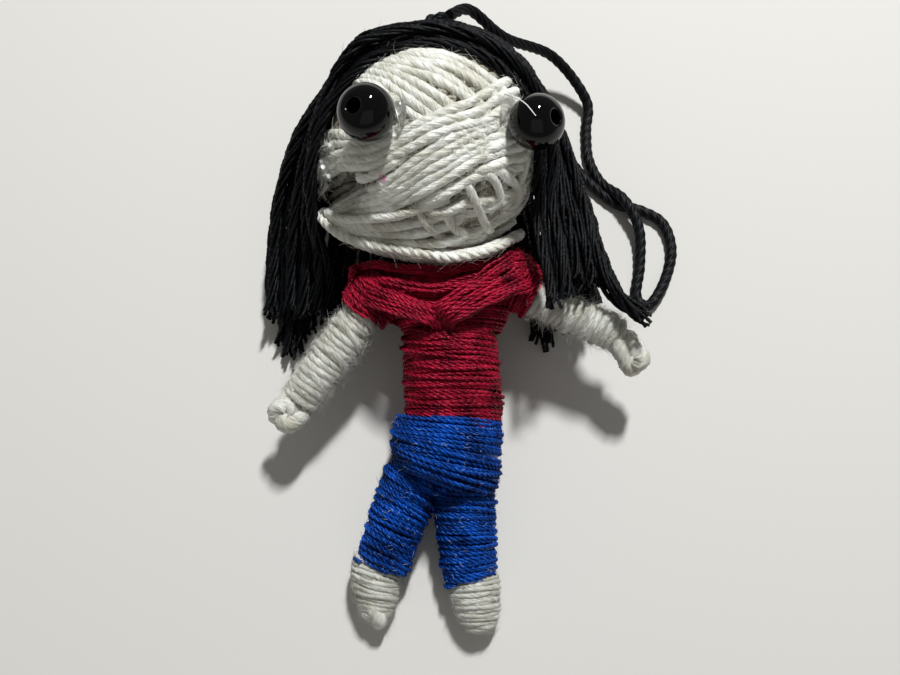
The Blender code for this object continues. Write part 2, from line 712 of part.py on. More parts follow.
yarn_cream = make_material("yarn_cream", cream, 0.85)
thread_crimson = make_material("thread_crimson", crimson, 0.6)
thread_blue = make_material("thread_blue", royal_blue, 0.6)
floss = make_material("floss_black", floss_black, 0.5)
bead = make_material("bead_black", bead_black, 0.08)
glue = make_material("glue_clear", glue_clear, 0.1)
pipe_cleaner = make_material("pipe_cleaner", nap_white, 0.9)

doll_frame = add_empty("doll_frame", None, (0, 0, head_rise), (slope, 0, 0))
head_pivot = add_empty("neck_bend", doll_frame, (neck_shift, -neck_drop, 0))
head_centre = add_empty("head_centre", head_pivot, (-neck_shift, neck_drop, 0))

build_head(yarn_cream)
build_eye("left", eye_left_turn, glue_left_angle, bead, glue)
build_eye("right", eye_right_turn, glue_right_angle, bead, glue)
build_hair(floss)
build_cord(floss)
spine_frame, spine_length = build_torso(thread_crimson, pipe_cleaner)
spine_bore = build_yoke(thread_crimson, spine_frame, spine_length)
build_arm("left", (shoulder_left_x, -shoulder_left_drop, 0), arm_left_angle, arm_left_length,
          hand_left_turn, yarn_cream, thread_crimson, pipe_cleaner)
build_arm("right", (shoulder_right_x, -shoulder_right_drop, 0), arm_right_angle, arm_right_length,
          hand_right_turn, yarn_cream, thread_crimson, pipe_cleaner)
build_hips(thread_blue, spine_bore)
table_size = head_rise * table_share
table_cutter = make_cutter("table", None, lambda shape: bmesh.ops.create_cube(shape, size=table_size))
table_cutter.location = (0, -leg_drop, -table_size / 2)
build_leg("left", (leg_left_x, -leg_drop, 0), leg_left_angle, leg_left_length, foot_left_turn, yarn_cream,
          thread_blue, pipe_cleaner, table_cutter)
build_leg("right", (leg_right_x, -leg_drop, 0), leg_right_angle, leg_right_length, foot_right_turn,
          yarn_cream, thread_blue, pipe_cleaner, table_cutter)
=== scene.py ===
import math
import random

import bmesh
import bpy
import numpy as np
from mathutils import Matrix, Vector


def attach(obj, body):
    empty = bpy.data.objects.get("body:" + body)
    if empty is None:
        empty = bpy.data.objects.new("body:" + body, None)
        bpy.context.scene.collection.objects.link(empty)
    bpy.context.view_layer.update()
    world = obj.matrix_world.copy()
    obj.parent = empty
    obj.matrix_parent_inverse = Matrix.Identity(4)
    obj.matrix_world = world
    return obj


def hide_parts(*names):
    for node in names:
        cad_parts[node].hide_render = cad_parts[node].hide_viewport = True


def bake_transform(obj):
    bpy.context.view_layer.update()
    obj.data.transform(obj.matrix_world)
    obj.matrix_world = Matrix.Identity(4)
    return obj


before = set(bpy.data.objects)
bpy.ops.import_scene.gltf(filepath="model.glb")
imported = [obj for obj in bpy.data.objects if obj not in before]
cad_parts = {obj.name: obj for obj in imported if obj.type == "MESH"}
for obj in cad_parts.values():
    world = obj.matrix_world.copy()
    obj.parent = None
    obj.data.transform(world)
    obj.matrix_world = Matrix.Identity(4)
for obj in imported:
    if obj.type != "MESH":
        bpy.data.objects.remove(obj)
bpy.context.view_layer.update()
print("frame loaded")

# Lengths below are in millimetres in the doll's own frame: x to the right, y from the feet to the
# crown and w out of the face, from the middle of the head.
mm = 0.001
outward = np.array((0, 0, 1))
doll = {"slope": 13.7, "rise": 12.6, "headRadius": 10.8}
dollSpace = (Matrix.Translation((0, 0, doll["rise"]))
             @ Matrix.Rotation(math.radians(doll["slope"]), 4, "X"))
rotationTable = np.array(dollSpace.to_3x3())


def toWorld(points):
    moved = np.asarray(points, float) @ rotationTable.T
    moved[:, 2] += doll["rise"]
    return moved * mm


def toDoll(points):
    moved = np.array(points, float) / mm
    moved[:, 2] -= doll["rise"]
    return moved @ rotationTable


# Camera
camera = {"place": (0.00158, -0.04567, 0.09104), "lean": 18.5, "lens": 36}
cameraData = bpy.data.cameras.new("photoCamera")
cameraData.sensor_width = 36
cameraData.lens = camera["lens"]
cameraData.clip_start = 0.001
cameraObject = bpy.data.objects.new("photoCamera", cameraData)
bpy.context.scene.collection.objects.link(cameraObject)
cameraObject.location = camera["place"]
cameraObject.rotation_euler = (math.radians(camera["lean"]), 0, 0)
bpy.context.scene.camera = cameraObject


# Paths
def lengthsAlong(points):
    steps = np.linalg.norm(np.diff(points, axis=0), axis=1)
    return np.concatenate(([0], np.cumsum(steps)))


def resample(points, step):
    # The same path with points an even step apart
    points = np.asarray(points, float)
    travel = lengthsAlong(points)
    count = max(3, int(math.ceil(travel[-1] / step)) + 1)
    places = np.linspace(0, travel[-1], count)
    return np.stack([np.interp(places, travel, points[:, axis]) for axis in range(points.shape[1])], axis=1)


def smooth(points, step):
    # A smooth curve through a few points
    points = np.asarray(points, float)
    ends = np.vstack([2 * points[0] - points[1], points, 2 * points[-1] - points[-2]])
    route = []
    for index in range(1, len(ends) - 2):
        before, here, there, after = ends[index - 1:index + 3]
        for t in np.linspace(0, 1, 12, endpoint=False):
            bend = before * 2 - here * 5 + there * 4 - after
            route.append((here * 2 + (there - before) * t + bend * t * t
                          + (here * 3 - before - there * 3 + after) * t ** 3) / 2)
    route.append(ends[-2])
    return resample(route, step)


def wobble(count, draw, waves=3, reach=1.0):
    # A slow random swing along a path, between about -reach and reach
    t = np.linspace(0, 1, count)
    swing = np.zeros(count)
    for wave in range(1, waves + 1):
        swing += draw.uniform(-1, 1) * np.sin(2 * math.pi * (wave * t + draw.random()))
    return swing * reach / math.sqrt(waves)


def sidesOf(path):
    # Two directions square to the path at each point, that turn as little as they can
    along = np.gradient(path, axis=0)
    along /= np.linalg.norm(along, axis=1, keepdims=True) + 1e-12
    first = np.cross(along[0], (0.3, 0.5, 0.8))
    first /= np.linalg.norm(first)
    firsts = [first]
    for index in range(1, len(path)):
        first = first - along[index] * (first @ along[index])
        first /= np.linalg.norm(first) + 1e-12
        firsts.append(first)
    firsts = np.array(firsts)
    return firsts, np.cross(along, firsts), along


def aboveTable(path, height):
    # A path kept at least this high over the table
    moved = toWorld(path)
    moved[:, 2] = np.maximum(moved[:, 2], height * mm)
    return toDoll(moved)


def limbWays(angle):
    # The directions along a limb and across it, by its angle from straight down
    a = math.radians(angle)
    return np.array((math.sin(a), -math.cos(a), 0)), np.array((math.cos(a), math.sin(a), 0))


def wind(place, angle, profile, pitch, step, draw, jitter=0.05, lean=0.0, tilt=(0, 0), phase=0.0):
    # One thread wound down a limb: profile is (distance along the limb, radius) from its start. Lean lowers
    # the front of each turn, and tilt its right side, at the first turn and at the last.
    profile = np.asarray(profile, float)
    travel = lengthsAlong(profile)
    turns = travel[-1] / pitch
    radius = profile[:, 1].mean()
    count = int(turns * 2 * math.pi * radius / step)
    share = np.linspace(0, 1, count)
    turn = 2 * math.pi * turns * share + phase
    height = np.interp(share * travel[-1], travel, profile[:, 0])
    reach = np.interp(share * travel[-1], travel, profile[:, 1])
    waves = max(2, int(turns * 2.3))
    height = height + wobble(count, draw, waves, jitter) + lean * reach * np.cos(turn)
    height = height + np.linspace(*tilt, count) * reach * np.sin(turn)
    reach = reach + wobble(count, draw, waves, jitter * 0.6)
    down, side = limbWays(angle)
    return (np.asarray(place, float) + height[:, None] * down
            + (reach * np.sin(turn))[:, None] * side + (reach * np.cos(turn))[:, None] * outward)


def raised(profile, height):
    return [(place, radius + height) for place, radius in profile]


def windFloss(place, angle, profile, strands, spacing, step, draw, **shape):
    # Several threads wound side by side as one floss
    turn = draw.uniform(0, 6)
    return [wind(place, angle, profile, strands * spacing, step, draw,
                 phase=turn + 2 * math.pi * strand / strands, **shape) for strand in range(strands)]


def roundProfile(radius, length, rootReach, tipReach, steps=10):
    # A rod with round ends, as (distance, radius); the reaches are in degrees past each end's middle
    points = []
    for step in range(steps + 1):
        angle = math.radians(rootReach * (1 - step / steps))
        points.append((-radius * math.sin(angle), radius * math.cos(angle)))
    for step in range(steps + 1):
        angle = math.radians(tipReach * step / steps)
        points.append((length + radius * math.sin(angle), radius * math.cos(angle)))
    return points


def onBall(path, radius):
    path = np.asarray(path, float)
    return path / np.linalg.norm(path, axis=1, keepdims=True) * radius


# Where the wound ball isn't round: a direction, how far it grows there, and over what width. First the jaw at
# the lower left, then the hollow that runs in under the left cheek, then gaps among the short strands.
ballShapes = (
    ((-0.86, -0.51, 0.00), 0.18, 0.20), ((-0.98, -0.13, 0.14), 0.07, 0.13),
    ((-0.90, -0.42, 0.12), -0.26, 0.10), ((-0.84, -0.45, 0.30), -0.40, 0.12),
    ((-0.75, -0.48, 0.44), -0.38, 0.11), ((-0.63, -0.51, 0.58), -0.16, 0.09),
    ((0.27, -0.75, 0.60), -0.07, 0.08), ((0.62, -0.46, 0.64), -0.11, 0.09),
    ((0.26, -0.63, 0.73), -0.06, 0.07),
)


def growth(points):
    ways = onBall(points, 1)
    grown = np.ones(len(ways))
    for place, size, width in ballShapes:
        grown += size * np.exp(-((ways - place) ** 2).sum(axis=1) / width ** 2)
    return grown[:, None]


def pairOf(top, bottom, step):
    # Two smooth paths with as many points as each other
    first, last = smooth(top, step), smooth(bottom, step)
    picks = np.linspace(0, 1, min(len(first), len(last)))
    return first[(picks * (len(first) - 1)).astype(int)], last[(picks * (len(last) - 1)).astype(int)]


def ballBand(top, bottom, count, radius, step, draw, jitter=0.12):
    # Strands laid side by side between two paths, on the ball or with no radius as far out as the paths
    strands = []
    first, last = pairOf(top, bottom, 0.5)
    for index in range(count):
        swing = draw.uniform(-0.12, 0.12) * np.linspace(-1, 1, len(first))[:, None]
        share = index / max(1, count - 1) + swing
        path = first * (1 - share) + last * share
        reach = radius * growth(path) if radius else np.linalg.norm(path, axis=1, keepdims=True)
        shift = np.cross(onBall(path, 1), np.gradient(path, axis=0))
        shift /= np.linalg.norm(shift, axis=1, keepdims=True)
        path = path + shift * wobble(len(path), draw, 3, jitter)[:, None]
        path = onBall(path, reach) * (1 + wobble(len(path), draw, 2, 0.006)[:, None])
        strands.append(resample(path, step))
    return strands


# Yarn and thread
def lobedProfile(name, lobes, depth, count):
    # The outline of a strand, with a lobe for each ply
    curve = bpy.data.curves.new(name, "CURVE")
    spline = curve.splines.new("POLY")
    spline.points.add(count - 1)
    for index in range(count):
        turn = 2 * math.pi * index / count
        reach = 1 - depth * (1 - abs(math.cos(lobes * turn / 2)))
        spline.points[index].co = (reach * math.cos(turn), reach * math.sin(turn), 0, 1)
    spline.use_cyclic_u = True
    made = bpy.data.objects.new(name, curve)
    bpy.context.scene.collection.objects.link(made)
    return made


# Each yarn: a strand's radius, the lobes of its outline, and for a plied yarn the ring that its plies lie on
yarns = {
    "cream": {"radius": 0.46, "lobes": 4, "depth": 0.17, "pitch": 4.2, "sides": 14, "step": 0.22,
              "vary": 0.07},
    "deep": {"radius": 0.46, "lobes": 3, "depth": 0.17, "pitch": 4.2, "sides": 9, "step": 0.34, "vary": 0.07},
    "twist": {"radius": 0.48, "lobes": 3, "depth": 0.32, "pitch": 2.7, "sides": 18, "step": 0.16,
              "vary": 0.04},
    "soft": {"radius": 0.27, "lobes": 3, "depth": 0.12, "pitch": 2.2, "sides": 9, "step": 0.2, "vary": 0.1},
    "crimson": {"radius": 0.118, "plies": 2, "ring": 0.085, "pitch": 1.5, "sides": 5, "step": 0.22},
    "blue": {"radius": 0.125, "plies": 2, "ring": 0.105, "pitch": 1.35, "sides": 5, "step": 0.21},
    "floss": {"radius": 0.2, "lobes": 2, "depth": 0.3, "pitch": 1.6, "sides": 6, "step": 0.46},
    "cord": {"radius": 0.6, "lobes": 6, "depth": 0.22, "pitch": 6.0, "sides": 24, "step": 0.3},
}


def choose(made):
    for chosen in list(bpy.context.selected_objects):
        chosen.select_set(False)
    made.select_set(True)
    bpy.context.view_layer.objects.active = made


def newCurve(name, thickness=0.0, resolution=0):
    curve = bpy.data.curves.new(name, "CURVE")
    curve.dimensions = "3D"
    curve.bevel_depth = thickness * mm
    curve.bevel_resolution = resolution
    return curve


def addSpline(curve, world, sizes):
    spline = curve.splines.new("POLY")
    spline.points.add(len(world) - 1)
    spline.points.foreach_set("co", np.hstack([world, np.ones((len(world), 1))]).ravel())
    spline.points.foreach_set("radius", sizes)
    return spline


def meshFrom(name, curve, look, rounded=True):
    # A curve made into a mesh with one finish
    made = bpy.data.objects.new(name, curve)
    bpy.context.scene.collection.objects.link(made)
    choose(made)
    bpy.ops.object.convert(target="MESH")
    made = bpy.context.view_layer.objects.active
    made.data.materials.clear()
    made.data.materials.append(look)
    if rounded:
        bpy.ops.object.shade_smooth()
    return made


def plied(path, kind, turn):
    # The plies of one thread, twisted round each other
    firsts, seconds, _ = sidesOf(path)
    around = 2 * math.pi * lengthsAlong(path) / kind["pitch"] + turn
    plies = []
    for ply in range(kind["plies"]):
        angle = around + 2 * math.pi * ply / kind["plies"]
        away = np.cos(angle)[:, None] * firsts + np.sin(angle)[:, None] * seconds
        plies.append(path + kind["ring"] * away)
    return plies


def spin(name, paths, yarn, look, thick=1.0):
    # A piece made of strands, each laid along one path and twisted
    kind = yarns[yarn]
    if "plies" in kind:
        paths = [ply for index, path in enumerate(paths) for ply in plied(path, kind, index)]
    outline = lobedProfile(name + "Outline", kind.get("lobes", 0), kind.get("depth", 0), kind["sides"])
    curve = newCurve(name)
    curve.bevel_mode = "OBJECT"
    curve.bevel_object = outline
    curve.use_fill_caps = True
    curve.twist_mode = "MINIMUM"
    for index, path in enumerate(paths):
        travel = lengthsAlong(path)
        swell = 1 + kind.get("vary", 0) * (np.sin(travel * 1.9 + index * 2.4) + np.sin(travel * 0.8 + index))
        spline = addSpline(curve, toWorld(path), kind["radius"] * thick * mm * swell)
        spline.points.foreach_set("tilt", 2 * math.pi * travel / kind["pitch"] + index)
    made = meshFrom(name, curve, look)
    bpy.data.objects.remove(outline, do_unlink=True)
    return made


# Loose fibres: how many, how long and thick, how far out they start, how steeply they rise, and the depth
# below which there are none
looseFibres = {
    "hair": {"count": 600, "length": 0.9, "thickness": 0.014, "start": 0.1, "rise": (0, 0.5)},
    "spun": {"count": 4800, "length": 2.0, "thickness": 0.013, "start": 0.38, "rise": (-0.1, 0.25),
             "lowest": 2.5},
    "head": {"count": 1500, "length": 1.3, "thickness": 0.007, "start": 0.42, "rise": (0.1, 0.9),
             "lowest": 3.5},
    "tuft": {"count": 1100, "length": 1.3, "thickness": 0.010, "start": 0.1, "rise": (-0.3, 0.5)},
    "shirt": {"count": 1500, "length": 1.0, "thickness": 0.012, "start": 0.2, "rise": (0, 0.5)},
    "arm": {"count": 2700, "length": 1.6, "thickness": 0.010, "start": 0.34, "rise": (-0.05, 0.5)},
    "leg": {"count": 800, "length": 0.9, "thickness": 0.012, "start": 0.2, "rise": (0, 0.5)},
    "foot": {"count": 1400, "length": 1.0, "thickness": 0.008, "start": 0.25, "rise": (0, 0.5)},
    "hips": {"count": 900, "length": 0.9, "thickness": 0.012, "start": 0.2, "rise": (0, 0.5)},
    "legLint": {"count": 130, "length": 0.5, "thickness": 0.014, "start": 0.2, "rise": (0.1, 0.9)},
    "hipLint": {"count": 150, "length": 0.5, "thickness": 0.014, "start": 0.2, "rise": (0.1, 0.9)},
}


def fuzz(name, paths, middle, look, draw, count, length, thickness, start, rise, lowest=-99):
    # Loose curled fibres on the strands, standing away from the middle that a function gives for each place
    curve = newCurve(name, thickness)
    sizes = np.array([len(path) for path in paths])
    for _ in range(count):
        path = paths[draw.choices(range(len(paths)), sizes)[0]]
        index = draw.randrange(1, len(path) - 1)
        here = path[index]
        if here[2] < lowest:
            continue
        along = path[index + 1] - path[index - 1]
        along = along / np.linalg.norm(along)
        out = here - middle(here)
        out = out - along * (out @ along)
        out = out / (np.linalg.norm(out) + 1e-9)
        side = np.cross(along, out)
        heading = along * draw.choice((-1, 1)) + out * draw.uniform(*rise) + side * draw.uniform(-1.1, 1.1)
        heading = heading / np.linalg.norm(heading)
        bend = side * draw.uniform(-0.6, 0.6) - out * draw.uniform(0, 0.3) + along * draw.uniform(-0.4, 0.4)
        piece = length * draw.uniform(0.4, 1.3) / 4
        point = here + out * start
        points = [point]
        for _ in range(4):
            heading = heading + bend * draw.uniform(0.2, 1)
            heading = heading / np.linalg.norm(heading)
            point = point + heading * piece
            points.append(point)
        world = toWorld(points)
        world[:, 2] = np.maximum(world[:, 2], 0.05 * mm)
        addSpline(curve, world, np.linspace(1, 0.4, len(world)))
    return meshFrom(name, curve, look, rounded=False)


# Finishes
def newMaterial(name):
    made = bpy.data.materials.new(name)
    made.use_nodes = True
    tree = made.node_tree
    return made, tree.nodes, tree.links, tree.nodes["Principled BSDF"]


def yarnMaterial(name, colours, roughness, sheen, fibres, bump, lint=None, mark=None, specular=0.3,
                 tint=None):
    # Spun yarn: fine fibres along the plies, with slow changes of tone
    made, nodes, links, shader = newMaterial(name)
    place = nodes.new("ShaderNodeTexCoord")
    split = nodes.new("ShaderNodeSeparateXYZ")
    links.new(place.outputs["UV"], split.inputs["Vector"])
    turn = nodes.new("ShaderNodeMath")
    turn.operation = "MULTIPLY"
    turn.inputs[1].default_value = 2 * math.pi
    links.new(split.outputs["Y"], turn.inputs[0])
    across = nodes.new("ShaderNodeCombineXYZ")
    for operation, axis in (("COSINE", "X"), ("SINE", "Y")):
        around = nodes.new("ShaderNodeMath")
        around.operation = operation
        links.new(turn.outputs[0], around.inputs[0])
        spread = nodes.new("ShaderNodeMath")
        spread.operation = "MULTIPLY"
        spread.inputs[1].default_value = fibres / (2 * math.pi)
        links.new(around.outputs[0], spread.inputs[0])
        links.new(spread.outputs[0], across.inputs[axis])
    scaled = nodes.new("ShaderNodeVectorMath")
    scaled.operation = "SCALE"
    scaled.inputs["Scale"].default_value = 900
    links.new(place.outputs["Object"], scaled.inputs[0])
    joined = nodes.new("ShaderNodeVectorMath")
    joined.operation = "ADD"
    links.new(across.outputs[0], joined.inputs[0])
    links.new(scaled.outputs["Vector"], joined.inputs[1])
    fine = nodes.new("ShaderNodeTexNoise")
    fine.inputs["Scale"].default_value = 1
    fine.inputs["Detail"].default_value = 3
    links.new(joined.outputs["Vector"], fine.inputs["Vector"])
    slow = nodes.new("ShaderNodeTexNoise")
    slow.inputs["Scale"].default_value = 420
    slow.inputs["Detail"].default_value = 2
    links.new(place.outputs["Object"], slow.inputs["Vector"])
    blend = nodes.new("ShaderNodeMix")
    blend.data_type = "FLOAT"
    blend.inputs["Factor"].default_value = 0.45
    links.new(fine.outputs["Fac"], blend.inputs["A"])
    links.new(slow.outputs["Fac"], blend.inputs["B"])
    tones = nodes.new("ShaderNodeValToRGB")
    tones.color_ramp.elements[0].position = 0.38
    tones.color_ramp.elements[1].position = 0.60
    tones.color_ramp.elements[0].color = (*colours[0], 1)
    tones.color_ramp.elements[1].color = (*colours[1], 1)
    links.new(blend.outputs["Result"], tones.inputs["Fac"])
    colour = tones.outputs["Color"]
    if lint:
        specks = nodes.new("ShaderNodeTexNoise")
        specks.inputs["Scale"].default_value = 2600
        specks.inputs["Detail"].default_value = 2
        links.new(place.outputs["Object"], specks.inputs["Vector"])
        pick = nodes.new("ShaderNodeValToRGB")
        pick.color_ramp.elements[0].position = lint["from"]
        pick.color_ramp.elements[1].position = lint["to"]
        links.new(specks.outputs["Fac"], pick.inputs["Fac"])
        paint = nodes.new("ShaderNodeMix")
        paint.data_type = "RGBA"
        links.new(pick.outputs["Color"], paint.inputs["Factor"])
        links.new(colour, paint.inputs["A"])
        paint.inputs["B"].default_value = (*lint["colour"], 1)
        colour = paint.outputs["Result"]
    if mark:
        # A stray touch of ink on one strand
        away = nodes.new("ShaderNodeVectorMath")
        away.operation = "DISTANCE"
        away.inputs[1].default_value = toWorld([mark["place"]])[0]
        links.new(place.outputs["Object"], away.inputs[0])
        near = nodes.new("ShaderNodeMapRange")
        near.inputs["From Min"].default_value = mark["size"] * 0.4 * mm
        near.inputs["From Max"].default_value = mark["size"] * mm
        near.inputs["To Min"].default_value = 0.85
        near.inputs["To Max"].default_value = 0
        links.new(away.outputs["Value"], near.inputs["Value"])
        paint = nodes.new("ShaderNodeMix")
        paint.data_type = "RGBA"
        links.new(near.outputs["Result"], paint.inputs["Factor"])
        links.new(colour, paint.inputs["A"])
        paint.inputs["B"].default_value = (*mark["colour"], 1)
        colour = paint.outputs["Result"]
    links.new(colour, shader.inputs["Base Color"])
    relief = nodes.new("ShaderNodeBump")
    relief.inputs["Strength"].default_value = bump
    relief.inputs["Distance"].default_value = 0.00012
    links.new(fine.outputs["Fac"], relief.inputs["Height"])
    links.new(relief.outputs["Normal"], shader.inputs["Normal"])
    shader.inputs["Roughness"].default_value = roughness
    shader.inputs["Specular IOR Level"].default_value = specular
    if tint:
        shader.inputs["Specular Tint"].default_value = (*tint, 1)
    shader.inputs["Sheen Weight"].default_value = sheen
    shader.inputs["Sheen Roughness"].default_value = 0.4
    return made


creamYarn = yarnMaterial("creamYarn", ((0.56, 0.545, 0.44), (0.92, 0.94, 0.90)), 0.48, 0.1, 16, 1.2,
                         mark={"place": (-4.4, -5.0, 8.6), "size": 0.5, "colour": (0.55, 0.08, 0.30)},
                         specular=0.5)
crimsonThread = yarnMaterial("crimsonThread", ((0.06, 0.001, 0.006), (0.47, 0.010, 0.043)), 0.36, 0, 6, 0.5,
                             specular=0.5, tint=(1, 0.25, 0.35))
blueThread = yarnMaterial("blueThread", ((0.0006, 0.008, 0.07), (0.005, 0.09, 0.52)), 0.4, 0, 6, 0.5,
                          lint={"from": 0.735, "to": 0.78, "colour": (0.35, 0.45, 0.65)}, specular=0.45,
                          tint=(0.3, 0.55, 1))
blackFloss = yarnMaterial("blackFloss", ((0.0008, 0.001, 0.0014), (0.004, 0.0048, 0.0068)), 0.5, 0, 8, 0.7,
                          specular=0.16)
# Painted shade: a darker copy of the cream yarn for the base winding and padding, so the gaps between face
# strands and the hollow under the left cheek show dark
deepYarn = yarnMaterial("deepYarn", ((0.21, 0.19, 0.14), (0.45, 0.43, 0.35)), 0.7, 0, 16, 1.0, specular=0.2)
# Painted shade: darker copies of the cream yarn and of its fuzz for the arms, hands and feet, standing for
# the weaker light on the limbs than on the head
limbYarn = yarnMaterial("limbYarn", ((0.44, 0.425, 0.34), (0.74, 0.755, 0.71)), 0.5, 0.1, 16, 1.2,
                        specular=0.45)
limbFuzz = yarnMaterial("limbFuzz", ((0.56, 0.56, 0.51), (0.68, 0.68, 0.64)), 0.6, 0.1, 4, 0)
creamFuzz = yarnMaterial("creamFuzz", ((0.78, 0.78, 0.72), (0.9, 0.9, 0.85)), 0.6, 0.1, 4, 0)
paleLint = yarnMaterial("paleLint", ((0.35, 0.42, 0.6), (0.7, 0.74, 0.85)), 0.8, 0.2, 4, 0)
print("finishes made")


def dress(piece, body, slot, *nodes):
    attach(piece, body)
    if nodes:
        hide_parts(*nodes)
    print(piece.name, len(piece.data.polygons), "faces")
    return piece


# Hanging cord
cordRoute = (
    (0.0015, 0.0144, 0.0147), (0.0037, 0.0165, 0.0128), (0.0075, 0.0158, 0.0092), (0.0132, 0.0168, 0.0045),
    (0.0172, 0.0131, 0.0016), (0.0172, 0.0095, 0.0007), (0.0173, 0.0058, 0.0007), (0.0186, 0.0028, 0.0007),
    (0.0207, 0.0002, 0.0019), (0.0222, -0.0032, 0.0016), (0.0222, -0.0072, 0.0008),
    (0.0216, -0.0108, 0.0007), (0.0229, -0.0118, 0.0007), (0.0247, -0.0092, 0.0007),
    (0.0258, -0.0055, 0.0007), (0.0251, -0.0022, 0.0007), (0.0228, -0.0006, 0.0007),
    (0.0196, 0.0006, 0.0007), (0.0156, 0.0050, 0.0007), (0.0135, 0.0100, 0.0007), (0.0090, 0.0148, 0.0016),
    (0.0035, 0.0163, 0.0066), (0.0012, 0.0156, 0.0110), (0.0004, 0.0147, 0.0133),
)
cordPath = smooth(toDoll(cordRoute), yarns["cord"]["step"])
hangingCord = spin("hangingCord", [cordPath], "cord", blackFloss)
dress(hangingCord, "head", "floss_black", "hanging_cord")
cordWorld = toWorld(cordPath)

# Hair
hair = {"shell": 11.15, "radius": 0.6, "spacing": 1.0, "firstAngle": 24, "rowStep": 9.5, "tilt": 20,
        "over": 0.7, "rows": 13, "overRows": 8, "backCords": 16, "fray": 2.6, "ring": 0.36, "pitch": 10.0,
        "turns": 40}
# Each side's cords by row: where a cord leaves the band, its tip, the tip's height, how far the ends pull,
# and how far the tip sweeps outward
lockRows = {
    -1: ((0.0, 100, -0.97, -1.50, 0.44, 0.40, 0.60, 0), (1.0, 94, -1.14, -1.44, 0.43, 0.45, 0.70, 0),
         (2.0, 72, -1.32, -1.50, 0.41, 0.70, 0.95, 0), (3.0, 46, -1.60, -1.46, 0.26, 0.95, 1.35, 0),
         (3.6, 46, -1.54, -1.48, 0.085, 1.00, 1.25, 0), (4.4, 52, -1.44, -1.84, 0.085, 0.85, 1.15, 0),
         (5.2, 64, -1.34, -1.88, 0.085, 0.75, 1.10, 0), (6.0, 76, -1.16, -1.55, 0.085, 0.60, 0.80, 0),
         (7.0, 82, -0.97, -1.46, 0.085, 0.50, 0.60, 0)),
    1: ((0.0, 103, 1.02, -1.53, 1.33, 0.40, 0.50, 0), (0.9, 93, 1.16, -1.31, 1.14, 0.50, 0.60, 0),
        (1.8, 84, 1.30, -1.31, 1.10, 0.60, 0.55, 0), (2.4, 76, 1.44, -1.35, 1.06, 0.68, 0.50, 0.05),
        (2.65, 55, 1.78, -1.57, 1.06, 0.92, 0.14, 0.56), (3.65, 51, 1.86, -1.54, 1.06, 0.98, 0.14, 0.56),
        (3.9, 62, 1.56, -1.46, 0.50, 0.78, 0.50, 0.16), (4.6, 68, 1.42, -1.46, 0.40, 0.70, 0.70, 0.10),
        (5.4, 74, 1.30, -1.52, 0.20, 0.65, 0.80, 0), (6.2, 81, 1.12, -1.80, 0.09, 0.60, 0.80, 0),
        (7.0, 86, 1.00, -1.78, 0.09, 0.50, 0.60, 0)),
}
draw = random.Random(7)
slope = math.radians(doll["slope"])


def tableDepth(y, height):
    # How far out of the doll's middle plane a point lies that is this high above the table
    return (height - doll["rise"] - y * math.sin(slope)) / math.cos(slope)


def onBand(radius, angle, depth):
    # A point of the band of hair over the crown, by its angle from the top
    tilt = math.radians(hair["tilt"])
    x, y = radius * math.sin(angle), radius * math.cos(angle)
    return np.array((x, y * math.cos(tilt) - depth * math.sin(tilt),
                     y * math.sin(tilt) + depth * math.cos(tilt)))


def hangingSide(row, side, radius, depth, lift):
    # One hanging side of a cord, from where it leaves the head to its tip
    rows, *columns = zip(*lockRows[side])
    leave, x, y, height, firstPull, lastPull, sweep = (np.interp(row, rows, column) for column in columns)
    size = doll["headRadius"]
    leave = side * math.radians(leave)
    y = y * size + draw.uniform(-0.6, 0.6)
    x = x * size + side * lift * 0.35 + draw.uniform(-0.25, 0.25)
    tip = np.array((x, y, tableDepth(y, height * size + lift)))
    start = onBand(radius, leave, depth)
    startPull = start + onBand(side, leave + math.pi / 2, 0) * size * firstPull
    tipPull = tip + np.array((-side * size * sweep, size * lastPull, 0))
    hanging = []
    for t in np.linspace(0, 1, 13)[1:]:
        s = 1 - t
        hanging.append(s ** 3 * start + 3 * s * s * t * startPull + 3 * s * t * t * tipPull + t ** 3 * tip)
    return leave, hanging


def crownCord(row, lift):
    # A cord laid over the crown, from its left tip to its right tip
    angle = math.radians(hair["firstAngle"] - row * hair["rowStep"])
    depth = (hair["shell"] + lift) * math.sin(angle)
    radius = (hair["shell"] + lift) * math.cos(angle)
    leftLeave, left = hangingSide(row, -1, radius, depth, lift)
    rightLeave, right = hangingSide(row, 1, radius, depth, lift)
    crown = [onBand(radius, leftLeave + (rightLeave - leftLeave) * t, depth) for t in np.linspace(0, 1, 12)]
    return np.array(left[::-1] + crown + right)


def settle(cords, spacing, shell, lowest, turns):
    # Cords moved apart until none lies in another, in the head or in the table
    points = np.concatenate(cords)
    owner = np.repeat(np.arange(len(cords)), [len(cord) for cord in cords])
    other = owner[:, None] != owner[None]
    up = np.array((0, math.sin(slope), math.cos(slope)))
    for turn in range(turns):
        offset = points[:, None] - points[None]
        apart = np.linalg.norm(offset, axis=2) + np.eye(len(points))
        short = np.where(other, np.clip(spacing - apart, 0, None), 0)
        points = points + (offset * (short / apart)[:, :, None]).sum(axis=1) * 0.45
        distance = np.linalg.norm(points, axis=1, keepdims=True)
        points = points * np.maximum(1, shell * growth(points) / distance)
        beside = np.interp(points[:, 1], (-13, -10.5, -8, -3, 1, 4), (9.2, 10.9, 11.8, 11.7, 11.1, 8))
        near = (points[:, 0] < -5) & (points[:, 2] > -3.5)
        points[:, 0] = np.where(near, np.clip(points[:, 0], -16.4, -beside), points[:, 0])
        height = points @ up + doll["rise"]
        points = points + np.clip(lowest - height, 0, None)[:, None] * up
    cords = np.split(points, np.cumsum([len(cord) for cord in cords])[:-1])
    for cord in cords:
        cord[1:-1] = cord[1:-1] * 0.5 + (cord[:-2] + cord[2:]) * 0.25
    return cords


